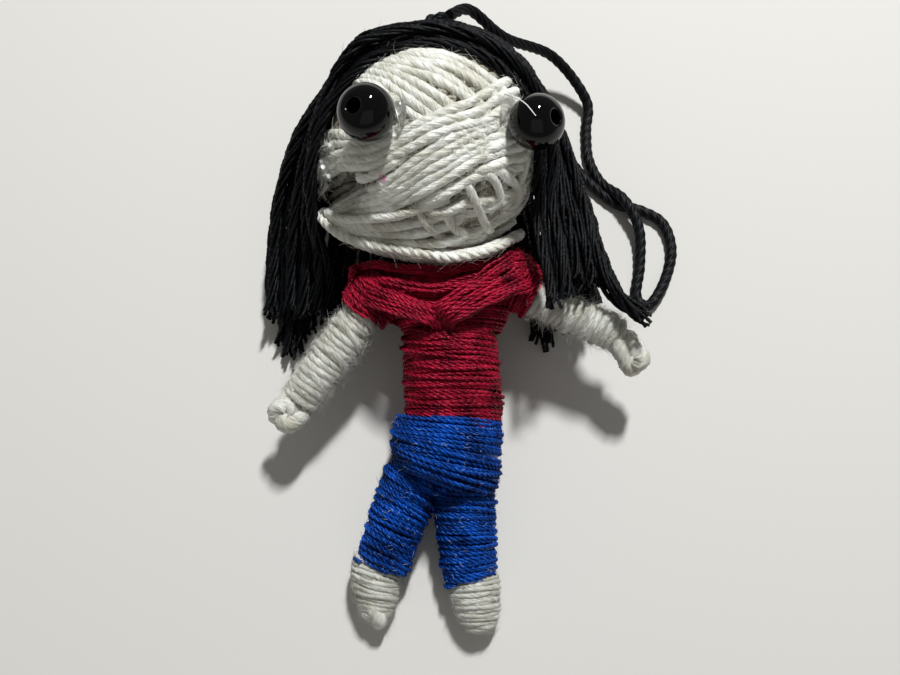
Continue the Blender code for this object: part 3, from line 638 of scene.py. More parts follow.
def flossStrands(path, draw, ring, pitch, fray):
    # The six strands of one cord, loose at its cut ends
    path = smooth(path, yarns["floss"]["step"])
    firsts, seconds, _ = sidesOf(path)
    travel = lengthsAlong(path)
    loose = np.clip((np.maximum(travel - travel[-1], -travel) + fray) / fray, 0, 1)
    turn = 2 * math.pi * travel / pitch + draw.uniform(0, 6)
    strands = []
    for strand in range(6):
        angle = turn + 2 * math.pi * strand / 6 + wobble(len(path), draw, 8, 0.7)
        reach = ring * (1 + wobble(len(path), draw, 10, 0.3)) + loose ** 2 * draw.uniform(0, 0.5)
        around = (np.cos(angle) * reach)[:, None] * firsts + (np.sin(angle) * reach)[:, None] * seconds
        strands.append(aboveTable(path + around, 0.26)[draw.randrange(0, 3):len(path) - draw.randrange(0, 3)])
    return strands


firstLayer = [crownCord(row, 0) for row in np.linspace(0, 7, hair["rows"])]
secondLayer = [crownCord(row, hair["over"]) for row in np.linspace(0.6, 5.6, hair["overRows"])]
backLayer = []
for x in np.linspace(-9.2, 9.2, hair["backCords"]):
    y = -13.5 + draw.uniform(-1, 1)
    rows = ((x * 0.62, 10.2, -5.2), (x * 0.72, 8.0, -8.6), (x * 0.9, 3.5, tableDepth(3.5, 1.0)),
            (x * 1.05, -2, tableDepth(-2, 0.62)), (x * 1.15, -8, tableDepth(-8, 0.62)),
            (x * 1.2, y, tableDepth(y, 0.62)))
    backLayer.append(smooth(rows, 2.2))
settled = settle(firstLayer + secondLayer + backLayer, hair["spacing"], hair["shell"], hair["radius"] + 0.04,
                 hair["turns"])
hairPieces = {
    "hairFront": (settled[:6], ("hair_lock_1", "hair_lock_2", "hair_lock_3", "hair_lock_4")),
    "hairMiddle": (settled[6:13], ("hair_lock_5", "hair_lock_6", "hair_lock_7", "hair_lock_8")),
    "hairOver": (settled[13:13 + hair["overRows"]], ("hair_outer_lock_1", "hair_outer_lock_2")),
    "hairBack": (settled[13 + hair["overRows"]:], ("hair_mat",)),
}
# The hair follows the head down to the chin and lies on the shoulders below; the two places given for it to
# bend there are not used
hairBend = [tuple(point) for point in toWorld([(0, -7, 0), (0, -15, 0)])]
hairStrands = []
for name, (cords, nodes) in hairPieces.items():
    if name == "hairBack":
        strands, yarn = [smooth(cord, 0.5) for cord in cords], "cord"
    else:
        strands, yarn = [], "floss"
        for cord in cords:
            strands += flossStrands(cord, draw, hair["ring"], hair["pitch"], hair["fray"])
    locks = spin(name, strands, yarn, blackFloss)
    print(name, len(locks.data.polygons), "faces")
    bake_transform(locks)
    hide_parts(*nodes)
    hairStrands += strands
hairFibres = fuzz("hairFuzz", hairStrands, lambda p: np.array((0, p[1], -3)), blackFloss, draw,
                  **looseFibres["hair"])
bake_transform(hairFibres)

# The knot that ties the hanging cord over the crown
t = np.linspace(0, 2 * math.pi, 60)
knotPath = np.stack([np.sin(t) + 2 * np.sin(2 * t), np.cos(t) - 2 * np.cos(2 * t), -np.sin(3 * t)], axis=1)
knotPath = knotPath * 0.3 + np.array((0.3, 13.6, -1.2))
dress(spin("cordKnot", [resample(knotPath, 0.3)], "cord", blackFloss, 0.75), "head", "floss_black",
      "cord_knot")
print("hair laid")

# Head
head = {"baseRadius": 9.95, "lean": 30, "pitch": 0.92, "poleReach": 84}
draw = random.Random(11)
step = yarns["cream"]["step"]
bpy.ops.mesh.primitive_ico_sphere_add(subdivisions=5, radius=9.7 * mm, location=(0, 0, doll["rise"] * mm))
headCore = bpy.context.object
headCore.name = "headPadding"
bpy.ops.object.transform_apply()
bpy.ops.object.shade_smooth()
corners = np.array([toDoll([corner.co])[0] for corner in headCore.data.vertices])
for corner, place in zip(headCore.data.vertices, toWorld(corners * growth(corners))):
    corner.co = place
# The padding takes the darker yarn, painted shade where it shows between the strands
headCore.data.materials.append(deepYarn)
dress(headCore, "head", "yarn_cream", "head_padding")
ballProfile = roundProfile(head["baseRadius"], 0, head["poleReach"], head["poleReach"], 16)
headBase = [wind((0, 0, 0), head["lean"], ballProfile, head["pitch"], yarns["deep"]["step"], draw,
                 jitter=0.06)]
headBase[0] *= growth(headBase[0])
# The base winding takes the darker yarn, painted shade in the gaps between the face strands
dress(spin("headWinding", headBase, "deep", deepYarn), "head", "yarn_cream", "head_winding")

faceBands = {
    "forehead": {"count": 9, "radius": 10.4,
                 "top": ((-6.0, 9.0, 1.0), (-3.3, 7.6, 7.0), (1.6, 6.6, 8.5), (5.2, 4.4, 8.4),
                         (8.4, 1.2, 6.7)),
                 "bottom": ((-9.3, 4.6, 3.0), (-6.0, 3.9, 8.0), (-3.1, 1.5, 10.2), (0.8, -1.4, 10.7),
                            (4.0, -4.0, 9.2))},
    "leftCheek": {"count": 4, "radius": 10.35,
                  "top": ((-10.6, 1.2, -3.0), (-9.8, 0.4, 4.6), (-6.6, -1.0, 8.4), (-2.8, -0.8, 10.3)),
                  "bottom": ((-10.6, -2.0, -1.5), (-9.9, -2.5, 3.4), (-7.0, -3.6, 7.3), (-3.4, -3.8, 9.4))},
    "upper": {"count": 3, "radius": 10.6,
              "top": ((-10.4, -1.6, 1.6), (-8.0, -2.0, 6.8), (-5.2, -2.4, 9.2), (-2.6, -1.3, 10.4),
                      (0.5, 0.0, 10.8), (3.3, 1.3, 10.2), (5.5, 3.2, 8.7), (7.6, 5.0, 6.0),
                      (8.6, 6.4, 1.0)),
              "bottom": ((-10.3, -2.9, 1.4), (-8.2, -3.3, 6.0), (-5.4, -3.9, 8.6), (-2.2, -2.9, 10.2),
                         (1.2, -1.3, 10.7), (4.4, -0.2, 9.8), (6.2, 1.2, 8.7), (7.8, 2.4, 7.0),
                         (9.6, 4.2, 1.0))},
    "middle": {"count": 5, "radius": 10.45,
               "top": ((-10.4, -5.6, -2.0), (-10.2, -6.1, 0.0), (-8.3, -6.0, 3.3), (-5.8, -5.9, 6.9),
                       (-3.6, -5.0, 8.8), (-1.0, -3.5, 10.2), (1.6, -2.1, 10.5), (4.6, -0.4, 9.8),
                       (7.4, 1.0, 7.8), (10.0, 2.6, 2.0)),
               "bottom": ((-10.2, -6.0, -2.4), (-9.6, -6.9, 0.0), (-7.4, -7.6, 3.0), (-4.6, -7.7, 6.0),
                          (-2.4, -7.1, 7.9), (-0.6, -6.3, 8.9), (1.4, -5.3, 9.4), (3.5, -3.9, 9.5),
                          (6.4, -2.3, 8.4), (9.6, -0.4, 5.0))},
    "lower": {"count": 5, "radius": 10.4,
              "top": ((-9.8, -6.8, -1.0), (-8.0, -7.6, 2.0), (-4.4, -8.4, 5.6), (-0.2, -7.3, 8.1),
                      (2.5, -5.9, 8.8), (5.2, -5.0, 8.2), (8.4, -3.6, 5.6)),
              "bottom": ((-8.8, -7.4, -1.0), (-4.4, -9.8, 2.0), (0.4, -10.6, 2.4), (4.8, -9.6, 2.0),
                         (8.2, -7.0, 0.6))},
    "jaw": {"count": 5, "radius": 0,
            "top": ((-10.8, -6.2, 0.2), (-8.2, -7.6, 3.4), (-5.0, -8.0, 5.8), (-2.6, -7.6, 7.2),
                    (-0.8, -7.0, 8.0), (0.6, -6.4, 8.2)),
            "bottom": ((-10.8, -6.7, -0.2), (-9.0, -8.5, 1.6), (-5.8, -9.8, 3.1), (-3.0, -10.4, 3.6),
                       (1.2, -11.0, 3.9), (3.4, -10.8, 3.7), (5.9, -9.9, 2.7), (8.0, -8.4, 0.4))},
    "rightCheek": {"count": 4, "radius": 10.1,
                   "top": ((9.0, 4.0, 4.5), (8.9, 0.4, 6.0), (8.2, -2.6, 6.4), (7.0, -5.2, 6.2),
                           (5.4, -7.6, 5.6)),
                   "bottom": ((10.4, 2.4, 1.8), (10.6, -1.2, 2.0), (9.8, -4.6, 1.4), (8.0, -7.4, 0.4),
                              (5.4, -9.3, 1.0))},
}
faceStrands = []
for band in faceBands.values():
    faceStrands += ballBand(band["top"], band["bottom"], band["count"], band["radius"], step, draw)
looseStrands = {
    "longRise": ((-2.4, -7.1, 7.9), (-0.6, -6.3, 8.9), (1.4, -5.3, 9.4), (3.5, -3.9, 9.5), (5.6, -2.6, 9.0)),
    "shortRise": ((-0.2, -7.3, 8.1), (1.4, -6.5, 8.6), (2.5, -5.9, 8.8), (3.5, -5.3, 8.9)),
    "lowRise": ((-0.7, -8.3, 7.0), (-0.1, -8.1, 7.3), (1.1, -8.0, 7.4), (2.3, -7.5, 7.5), (3.4, -7.1, 7.6)),
    "ringRight": ((5.6, -3.9, 8.6), (7.0, -4.6, 7.0), (7.9, -5.1, 5.4), (8.2, -5.8, 4.3), (7.8, -6.6, 3.8),
                  (6.5, -7.8, 4.0)),
    "thinArc": ((4.4, -4.4, 9.0), (5.5, -4.9, 8.0), (6.1, -5.6, 7.1), (6.3, -6.4, 6.1), (6.0, -7.6, 5.2)),
    "steepFall": ((2.8, -5.4, 9.1), (3.4, -6.0, 8.4), (4.1, -7.2, 7.1), (4.9, -8.4, 5.0), (5.8, -9.0, 2.3)),
    "lowTwist": ((-1.4, -7.9, 7.3), (-0.8, -8.6, 6.7), (-0.2, -9.2, 5.8), (0.7, -9.8, 4.7), (2.0, -10.1, 3.6),
                 (3.9, -9.7, 2.9), (5.6, -8.9, 2.6)),
    "lowTwistTop": ((0.9, -7.8, 7.4), (1.5, -8.5, 6.6), (2.0, -9.1, 5.6), (3.1, -9.4, 4.6), (5.0, -9.1, 3.2)),
    "cheekTop": ((3.6, -4.8, 9.0), (5.1, -4.1, 8.6), (7.0, -3.1, 7.6), (9.0, -2.2, 5.4)),
    "underBead": ((4.4, -3.1, 9.4), (5.8, -2.2, 8.9), (7.4, -1.2, 7.8), (9.0, 0.2, 5.8)),
    "leftTail": ((-7.3, -4.5, 6.6), (-6.5, -4.8, 7.3), (-5.4, -4.7, 8.1), (-4.2, -4.3, 9.0),
                 (-2.4, -3.4, 9.9)),
    "cheekPair": ((-7.6, -3.2, 7.0), (-6.0, -3.3, 8.4), (-4.4, -3.0, 9.4), (-2.4, -2.3, 10.3)),
}
for path in looseStrands.values():
    path = resample(onBall(smooth(path, 0.4), 10.6), step)
    travel = lengthsAlong(path)
    tuck = np.clip(1 - np.minimum(travel, travel[-1] - travel) / 1.3, 0, 1) ** 2
    faceStrands.append(path * (1 - tuck * 0.09)[:, None])
dress(spin("faceStrands", faceStrands, "cream", creamYarn), "head", "yarn_cream")

chinRoutes = {
    "chinStrand": ((-10.4, -5.6, -2.0), (-11.1, -6.2, -0.6), (-10.9, -6.9, 0.6), (-9.3, -8.6, 2.2),
                   (-7.7, -9.5, 3.2), (-5.8, -10.1, 3.8), (-3.0, -10.7, 4.3), (1.2, -11.4, 4.6),
                   (3.4, -11.2, 4.4), (5.9, -10.3, 3.4), (7.4, -9.3, 2.0), (8.2, -8.7, 0.6),
                   (8.6, -8.0, -1.0)),
    "underStrand": ((-10.2, -6.0, -2.2), (-9.7, -7.6, -1.0), (-7.6, -9.1, -0.5), (-5.2, -10.1, 0.6),
                    (-2.0, -10.9, 1.4), (1.5, -11.1, 1.2), (4.6, -10.2, 0.2), (6.6, -9.0, -1.0)),
}
chinPaths = {name: smooth(route, yarns["twist"]["step"]) for name, route in chinRoutes.items()}
dress(spin("chinStrand", [chinPaths["chinStrand"]], "twist", creamYarn), "head", "yarn_cream", "chin_strand")
dress(spin("underStrand", [chinPaths["underStrand"]], "twist", creamYarn), "head", "yarn_cream")
fibreRows = faceStrands + list(chinPaths.values())
for name, kind in (("headFibres", "spun"), ("headFuzz", "head")):
    loose = fuzz(name, fibreRows, lambda p: np.zeros(3), creamFuzz, draw, **looseFibres[kind])
    dress(loose, "head", "yarn_cream")
tufts = (((-9.6, -1.0, 5.2), (-10.6, -0.8, 3.0), (-11.1, -1.8, 1.6), (-11.0, -2.9, 1.6), (-9.8, -3.6, 4.0)),
         ((-10.4, -2.6, 3.6), (-11.3, -3.0, 1.4), (-11.5, -3.9, 0.9), (-10.9, -4.5, 1.2), (-10.2, -4.0, 2.2)),
         ((6.0, 2.3, 9.0), (6.9, 1.9, 8.8), (7.2, 1.0, 8.7), (6.8, 0.4, 9.0)))
tuftPaths = [smooth(tuft, 0.1) for tuft in tufts]
dress(spin("cheekCurls", tuftPaths[:2], "soft", creamYarn, 0.8), "head", "yarn_cream")
dress(fuzz("cheekTuft", tuftPaths, lambda p: np.zeros(3), creamFuzz, draw, **looseFibres["tuft"]), "head",
      "yarn_cream")
print("head wound")

# Eyes
eyes = {
    "left": {"turn": -25, "lift": -0.8, "glueAngle": 20},
    "right": {"turn": 44.5, "lift": -0.8, "glueAngle": 125},
}
bead = {"radius": 2.5, "height": 4.4, "hole": 0.7, "seat": 13.2, "lip": 0.16}


def glossyMaterial(name, colour, roughness, scale, strength, distance):
    # A smooth finish with faint ripples
    made, nodes, links, shader = newMaterial(name)
    shader.inputs["Base Color"].default_value = (*colour, 1)
    shader.inputs["Roughness"].default_value = roughness
    place = nodes.new("ShaderNodeTexCoord")
    ripple = nodes.new("ShaderNodeTexNoise")
    ripple.inputs["Scale"].default_value = scale
    links.new(place.outputs["Object"], ripple.inputs["Vector"])
    bump = nodes.new("ShaderNodeBump")
    bump.inputs["Strength"].default_value = strength
    bump.inputs["Distance"].default_value = distance
    links.new(ripple.outputs["Fac"], bump.inputs["Height"])
    links.new(bump.outputs["Normal"], shader.inputs["Normal"])
    return made, shader


glass, shader = glossyMaterial("blackGlass", (0.001, 0.001, 0.0014), 0.04, 500, 0.05, 0.0002)
shader.inputs["Specular IOR Level"].default_value = 0.3
clearGlue, shader = glossyMaterial("clearGlue", (0.93, 0.93, 0.9), 0.12, 1500, 0.3, 0.0001)
shader.inputs["Transmission Weight"].default_value = 0.9
shader.inputs["IOR"].default_value = 1.4
whiteStray, shader = glossyMaterial("driedGlue", (0.8, 0.8, 0.78), 0.3, 2500, 1.0, 0.00004)


def ballDirection(turn, lift):
    turn, lift = math.radians(turn), math.radians(lift)
    return Vector((math.cos(lift) * math.sin(turn), math.sin(lift), math.cos(lift) * math.cos(turn)))


def pour(name, path, sizes, thickness, look):
    # A round tube along a path, thicker and thinner by its sizes
    curve = newCurve(name, thickness, 5)
    curve.use_fill_caps = True
    addSpline(curve, toWorld(path), sizes)
    return meshFrom(name, curve, look)


for side, eye in eyes.items():
    heading = ballDirection(eye["turn"], eye["lift"])
    facing = heading.to_track_quat("Z", "Y").to_matrix().to_4x4()
    seat = dollSpace @ Matrix.Translation(heading * bead["seat"]) @ facing
    wall = bead["radius"] - bead["hole"]
    lathe = bmesh.new()
    rim = []
    for angle in np.linspace(math.pi / 2 + 1.2, -math.pi / 2 - 1.2, 48):
        inward = max(0, abs(angle) - math.pi / 2)
        x = bead["hole"] + wall * max(math.cos(angle), 0) + bead["lip"] * (math.cos(inward * 1.3) - 1) * 0.5
        z = bead["height"] / 2 * math.sin(math.copysign(min(abs(angle), math.pi / 2), angle))
        z -= math.copysign(inward * 1.3, angle)
        rim.append(lathe.verts.new((x, 0, z)))
    edges = [lathe.edges.new((rim[index], rim[index + 1])) for index in range(len(rim) - 1)]
    edges.append(lathe.edges.new((rim[-1], rim[0])))
    bmesh.ops.spin(lathe, geom=rim + edges, cent=(0, 0, 0), axis=(0, 0, 1), angle=2 * math.pi, steps=64,
                   use_merge=True)
    bmesh.ops.remove_doubles(lathe, verts=lathe.verts, dist=0.002)
    bmesh.ops.recalc_face_normals(lathe, faces=lathe.faces)
    mesh = bpy.data.meshes.new(f"{side}Bead")
    lathe.to_mesh(mesh)
    lathe.free()
    mesh.transform(Matrix.Scale(mm, 4) @ seat)
    ball = bpy.data.objects.new(f"{side}Bead", mesh)
    bpy.context.scene.collection.objects.link(ball)
    choose(ball)
    bpy.ops.object.shade_smooth()
    mesh.materials.append(glass)
    dress(ball, "head", "bead_black", f"eye_bead_{side}")

    # Glue squeezed out at the bead's foot
    arc = np.radians(np.linspace(eye["glueAngle"] - 48, eye["glueAngle"] + 48, 25))
    reach = math.degrees(2.35 / 11.4)
    crescent = [np.array(ballDirection(eye["turn"] + reach * math.cos(a),
                                       eye["lift"] + reach * math.sin(a))) * 11.45
                for a in arc]
    bulge = np.sin(np.linspace(0.1, math.pi - 0.1, 25)) ** 0.8
    dress(pour(f"{side}Glue", crescent, bulge, 0.5, clearGlue), "head", "glue_clear", f"eye_glue_{side}")

# A thread of glue drawn over the right bead
strayRoute = ((6.4, 2.3, 9.6), (6.9, 2.0, 10.1), (7.3, 1.7, 10.3), (7.7, 1.2, 11.1), (8.15, 0.6, 11.7),
              (8.5, 0.05, 11.98), (8.9, -0.5, 12.05))
stray = smooth(strayRoute, 0.1)
dress(pour("strayGlue", stray, np.linspace(1, 0.6, len(stray)), 0.07, whiteStray), "head", "glue_clear")
print("eyes set")

# Neck
draw = random.Random(3)
neckWrap = [wind((0.6, -10.6, 0), 0, [(0, 1.1), (1.2, 1.15), (2.4, 1.2)], 0.62, step, draw, jitter=0.05)]
dress(spin("neckWrap", neckWrap, "cream", creamYarn), "torso", "yarn_cream")

# Shirt
shirt = {"strands": 5, "spacing": 0.3, "step": yarns["crimson"]["step"]}
draw = random.Random(5)
stuffings = {
    "torsoStuffing": {"place": (1.5, -22.0, 0), "turn": 3.5, "size": (4.2, 4.9, 4.2), "square": 0.5,
                      "look": crimsonThread, "slot": "thread_crimson"},
    "shoulderStuffing": {"place": (0.9, -14.4, 0), "turn": 5.9, "size": (6.0, 1.7, 1.8), "square": 0.8,
                         "look": crimsonThread, "slot": "thread_crimson"},
    "neckStuffing": {"place": (0.8, -13.4, 0), "turn": 4, "size": (5.4, 1.7, 2.2), "square": 0.8,
                     "look": crimsonThread, "slot": "thread_crimson"},
    "hipStuffing": {"place": (1.4, -28.9, 0), "turn": -5, "size": (4.95, 3.0, 4.75), "square": 0.5,
                    "look": blueThread, "slot": "thread_blue"},
}
for name, filling in stuffings.items():
    bpy.ops.mesh.primitive_uv_sphere_add(segments=64, ring_count=32, radius=1)
    made = bpy.context.object
    made.name = name
    for corner in made.data.vertices:
        out = corner.co.xz.length
        grow = out ** (filling["square"] - 1) if out > 0.01 else 1
        corner.co.x *= grow
        corner.co.z *= grow
    made.data.transform(Matrix.Scale(mm, 4) @ dollSpace @ Matrix.Translation(filling["place"])
                        @ Matrix.Rotation(math.radians(filling["turn"]), 4, "Z")
                        @ Matrix.Diagonal((*filling["size"], 1)))
    bpy.ops.object.shade_smooth()
    made.data.materials.append(filling["look"])
    dress(made, "torso", filling["slot"])

torsoProfile = [(0, 3.6), (0.5, 4.2), (1.6, 4.4), (3.5, 4.45), (7.5, 4.5), (8.5, 4.45), (9.2, 4.2)]
torsoThreads = windFloss((1.5, -17.6, 0), 3.5, torsoProfile, shirt["strands"], shirt["spacing"],
                         shirt["step"], draw,
                         jitter=0.2, lean=-0.04, tilt=(-0.06, 0.05))
torsoThreads += windFloss((1.5, -17.6, 0), 3.5, raised(torsoProfile, 0.13), 3, 0.9, shirt["step"], draw,
                          jitter=0.4, lean=0.09, tilt=(0.12, -0.1))
dress(spin("torsoWinding", torsoThreads, "crimson", crimsonThread), "torso", "thread_crimson",
      "shirt_winding")
chest = windFloss((1.2, -12.9, 0), 4, [(0, 2.0), (1.0, 2.5), (3.0, 3.0), (5.4, 3.9)], 4, 0.32,
                  shirt["step"], draw,
                  jitter=0.12)
for path in chest:
    path[:, 0] = 1.2 + (path[:, 0] - 1.2) * np.interp(path[:, 1], (-18.4, -17, -15.6, -13),
                                                      (1.1, 1.5, 1.95, 2.5))
dress(spin("chestWinding", [resample(path, shirt["step"]) for path in chest], "crimson", crimsonThread),
      "torso",
      "thread_crimson")

shoulders = {
    "left": {"place": (-5.8, -14.7, 0), "angle": -36, "length": 11.6, "body": "arm_left", "sleeve": 1.9,
             "profile": ((2.0, 1.55), (5, 1.7), (9, 1.64), (11, 1.55), (12.2, 1.45)), "shift": 0},
    "right": {"place": (7.7, -13.3, 0), "angle": 67, "length": 10.9, "body": "arm_right", "sleeve": 2.3,
              "profile": ((2.0, 1.3), (5, 1.35), (8, 1.45), (10, 1.45), (11.6, 1.3)), "shift": -0.55},
}


def bundle(top, bottom, count, layers, step, draw, groups=2, jitter=0.16):
    # Threads laid side by side between two paths, in a few layers, drawn together in groups
    strands = []
    first, last = pairOf(top, bottom, 0.4)
    for layer in range(layers):
        for index in range(count):
            share = (index + 0.5 * (layer % 2)) / count
            share += 0.75 * math.sin(2 * math.pi * groups * share) / (2 * math.pi * groups)
            path = first * (1 - share) + last * share
            path = path + np.stack([wobble(len(first), draw, 5, jitter) for _ in range(3)], axis=1)
            path[:, 2] -= layer * 0.28 * np.tanh(path[:, 2])
            strands.append(resample(path, step))
    return strands


shirtBands = {
    "neckTop": {"count": 4, "layers": 2,
                "top": ((-8.4, -11.4, -1.5), (-6.7, -11.3, 0.8), (-4.7, -11.5, 2.0), (-1.0, -12.0, 2.5),
                        (2.1, -11.8, 2.5), (5.6, -11.1, 2.0), (8.3, -10.5, 1.4), (9.5, -10.2, -1.5)),
                "bottom": ((-8.2, -12.0, -1.5), (-6.5, -11.9, 1.0), (-4.2, -12.3, 2.3), (-0.6, -12.9, 2.9),
                           (2.3, -12.6, 2.9), (6.0, -11.8, 2.4), (8.5, -11.2, 1.6), (9.7, -10.8, -1.5))},
    "neckMiddle": {"count": 5, "layers": 2,
                   "top": ((-8.2, -12.6, -1.5), (-6.4, -12.7, 1.0), (-3.8, -13.2, 2.8), (-0.4, -13.8, 3.4),
                           (2.4, -13.4, 3.4), (6.2, -12.2, 3.0), (8.6, -11.5, 1.6), (9.8, -11.0, -1.5)),
                   "bottom": ((-8.1, -12.8, -1.5), (-6.3, -13.2, 1.1), (-3.4, -13.9, 3.0), (-0.2, -14.7, 3.6),
                              (2.4, -14.2, 3.6), (6.3, -12.6, 3.2), (8.7, -11.8, 1.7), (9.9, -11.2, -1.5))},
    "neckLow": {"count": 3, "layers": 2,
                "top": ((-8.1, -13.3, -1.5), (-6.3, -13.7, 1.2), (-3.2, -14.6, 3.2), (0.0, -15.6, 3.9),
                        (2.5, -14.7, 3.8), (6.4, -12.9, 3.2), (8.8, -12.0, 1.7), (9.9, -11.4, -1.5)),
                "bottom": ((-8.1, -13.6, -1.5), (-6.3, -14.0, 1.2), (-3.0, -15.0, 3.3), (0.2, -16.2, 4.2),
                           (2.6, -15.6, 4.0), (6.5, -13.3, 3.2), (8.9, -12.3, 1.7), (10.0, -11.8, -1.5))},
    "leftSling": {"count": 9, "layers": 3, "groups": 3,
                  "top": ((-8.2, -12.3, -2.2), (-7.4, -12.8, 0.4), (-5.9, -13.6, 2.5), (-3.6, -14.8, 4.2),
                          (-0.9, -16.1, 5.1), (0.6, -17.0, 5.0), (1.4, -17.8, 3.8), (2.0, -18.6, 2.8)),
                  "bottom": ((-9.0, -14.2, -2.0), (-8.3, -15.0, 0.4), (-6.4, -15.9, 2.5), (-3.4, -16.8, 4.3),
                             (-0.9, -17.6, 5.0), (0.4, -18.0, 4.6), (1.2, -18.5, 3.4), (1.8, -19.0, 2.6))},
    "rightSling": {"count": 14, "layers": 3, "groups": 3,
                   "top": ((8.6, -9.7, -2.4), (7.8, -10.2, 0.8), (6.5, -11.2, 3.2), (4.3, -13.1, 4.9),
                           (2.0, -14.8, 5.7), (0.4, -16.2, 5.7), (0.8, -17.4, 4.6), (1.4, -18.4, 3.2)),
                   "bottom": ((10.7, -11.5, -2.4), (10.4, -12.9, 0.4), (9.2, -14.3, 2.8), (6.4, -15.4, 4.7),
                              (3.8, -16.8, 5.5), (2.2, -17.6, 5.4), (1.8, -18.2, 4.4), (1.8, -18.8, 3.2))},
    "leftBack": {"count": 10, "layers": 2,
                 "top": ((-7.6, -11.9, 1.0), (-7.2, -11.8, -1.6), (-3.6, -13.6, -3.4), (1.4, -15.8, -4.2),
                         (4.4, -17.6, -3.6), (4.8, -19.2, -1.6)),
                 "bottom": ((-8.9, -15.0, 0.6), (-8.0, -15.6, -1.8), (-3.6, -17.2, -3.6), (0.4, -18.2, -4.2),
                            (3.4, -18.8, -3.4), (4.6, -19.6, -1.6))},
    "rightBack": {"count": 12, "layers": 2,
                  "top": ((8.2, -9.9, 1.0), (7.4, -10.4, -1.8), (3.6, -12.4, -3.8), (0.2, -15.0, -4.6),
                          (-1.6, -17.6, -3.8), (-2.2, -19.2, -2.0)),
                  "bottom": ((10.4, -13.4, 0.6), (9.4, -14.2, -1.8), (5.4, -16.2, -3.8), (2.4, -17.8, -4.5),
                             (0.2, -18.8, -3.8), (-1.2, -19.6, -2.4))},
    "neckBack": {"count": 6, "layers": 2,
                 "top": ((-7.8, -11.6, 1.2), (-6.6, -11.4, -1.6), (-0.6, -11.8, -3.0), (6.0, -10.8, -2.4),
                         (8.6, -10.4, 0.8)),
                 "bottom": ((-8.2, -13.0, 1.2), (-6.8, -13.2, -1.8), (-0.4, -14.0, -3.4), (6.4, -12.6, -2.8),
                            (9.2, -11.8, 0.8))},
}
# The crossed bands reach past the shoulders; the two places given for them to bend with the arms are not
# used, and these pieces stay where they are made
shirtPieces = {
    "shirtNeck": {"bands": ("neckTop", "neckMiddle", "neckLow", "neckBack"), "node": "shirt_yoke"},
    "shirtLeft": {"bands": ("leftSling", "leftBack"), "node": "shirt_cross_left", "arm": "arm_left",
                  "bend": ((-3.5, -15.6, 0), (-8.0, -14.1, 0))},
    "shirtRight": {"bands": ("rightSling", "rightBack"), "node": "shirt_cross_right", "arm": "arm_right",
                   "bend": ((5.2, -13.9, 0), (9.4, -12.7, 0))},
}
for name, piece in shirtPieces.items():
    strands = []
    for band in piece["bands"]:
        part = shirtBands[band]
        strands += bundle(part["top"], part["bottom"], part["count"], part["layers"], shirt["step"], draw,
                          part.get("groups", 2))
    made = spin(name, strands, "crimson", crimsonThread)
    if "arm" in piece:
        start, end = toWorld(piece["bend"])
        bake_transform(made)
        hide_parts(piece["node"])
        print(name, len(made.data.polygons), "faces")
    else:
        dress(made, "torso", "thread_crimson", piece["node"])
        neckThreads = strands

for side, arm in shoulders.items():
    profile = roundProfile(2.35, arm["sleeve"], 62, 0)
    sleeve = windFloss(arm["place"], arm["angle"], profile, 5, 0.3, shirt["step"], draw, jitter=0.15)
    sleeve += windFloss(arm["place"], arm["angle"], raised(profile, 0.12), 3, 0.6, shirt["step"], draw,
                        jitter=0.3, lean=0.08)
    dress(spin(f"{side}Sleeve", sleeve, "crimson", crimsonThread), arm["body"], "thread_crimson",
          f"sleeve_{side}_winding")
shirtFibres = fuzz("shirtFuzz", torsoThreads + neckThreads, lambda p: np.array((1.5, p[1], 0)),
                   crimsonThread, draw, **looseFibres["shirt"])
dress(shirtFibres, "torso", "thread_crimson")
print("shirt wound")

# Arms and hands
limb = {"handTurn": {"left": 0, "right": -32}, "handShape": {"left": (1, 1), "right": (0.72, 1.85)},
        "fist": 0.36,
        "fistYarn": 2.15}
draw = random.Random(21)
softStep = yarns["soft"]["step"]
t = np.linspace(0, 2 * math.pi, 80)
knotShape = np.stack([np.sin(t) + 2 * np.sin(2 * t), -np.sin(3 * t) * 2.0, np.cos(t) - 2 * np.cos(2 * t)],
                     axis=1)
for side, arm in shoulders.items():
    length = arm["length"]
    profile = arm["profile"]
    down, across = limbWays(arm["angle"])
    place = np.array(arm["place"], float) + across * arm["shift"]
    threads = windFloss(place, arm["angle"], raised(profile, -0.16), 3, 0.42, softStep, draw, jitter=0.1)
    dress(spin(f"{side}ArmUnder", threads, "soft", limbYarn), arm["body"], "yarn_cream")
    wraps = [wind(place, arm["angle"], profile, 0.66, step, draw, jitter=0.14, lean=0.12, tilt=(0.05, -0.1))]
    wraps += [wind(place, arm["angle"], raised(profile, 0.1), 2.6, step, draw, jitter=0.3, lean=-0.25)]
    dress(spin(f"{side}Arm", wraps, "cream", limbYarn, 0.8), arm["body"], "yarn_cream", f"arm_{side}_winding")
    threads += wraps * 2
    heading, across = limbWays(arm["angle"] + limb["handTurn"][side])
    middle = place + down * length + heading * 2.3
    scaled = knotShape * limb["fist"] * (*limb["handShape"][side], 1)
    fist = middle + scaled[:, :1] * across + scaled[:, 1:2] * heading + scaled[:, 2:] * outward
    fist = [resample(fist, step)]
    dress(spin(f"{side}Hand", fist, "cream", limbYarn, limb["fistYarn"]), arm["body"], "yarn_cream",
          f"hand_{side}")
    armFibres = fuzz(f"{side}ArmFuzz", threads + fist, lambda p: place + down * ((p - place) @ down),
                     limbFuzz, draw, **looseFibres["arm"])
    dress(armFibres, arm["body"], "yarn_cream")
print("arms wound")

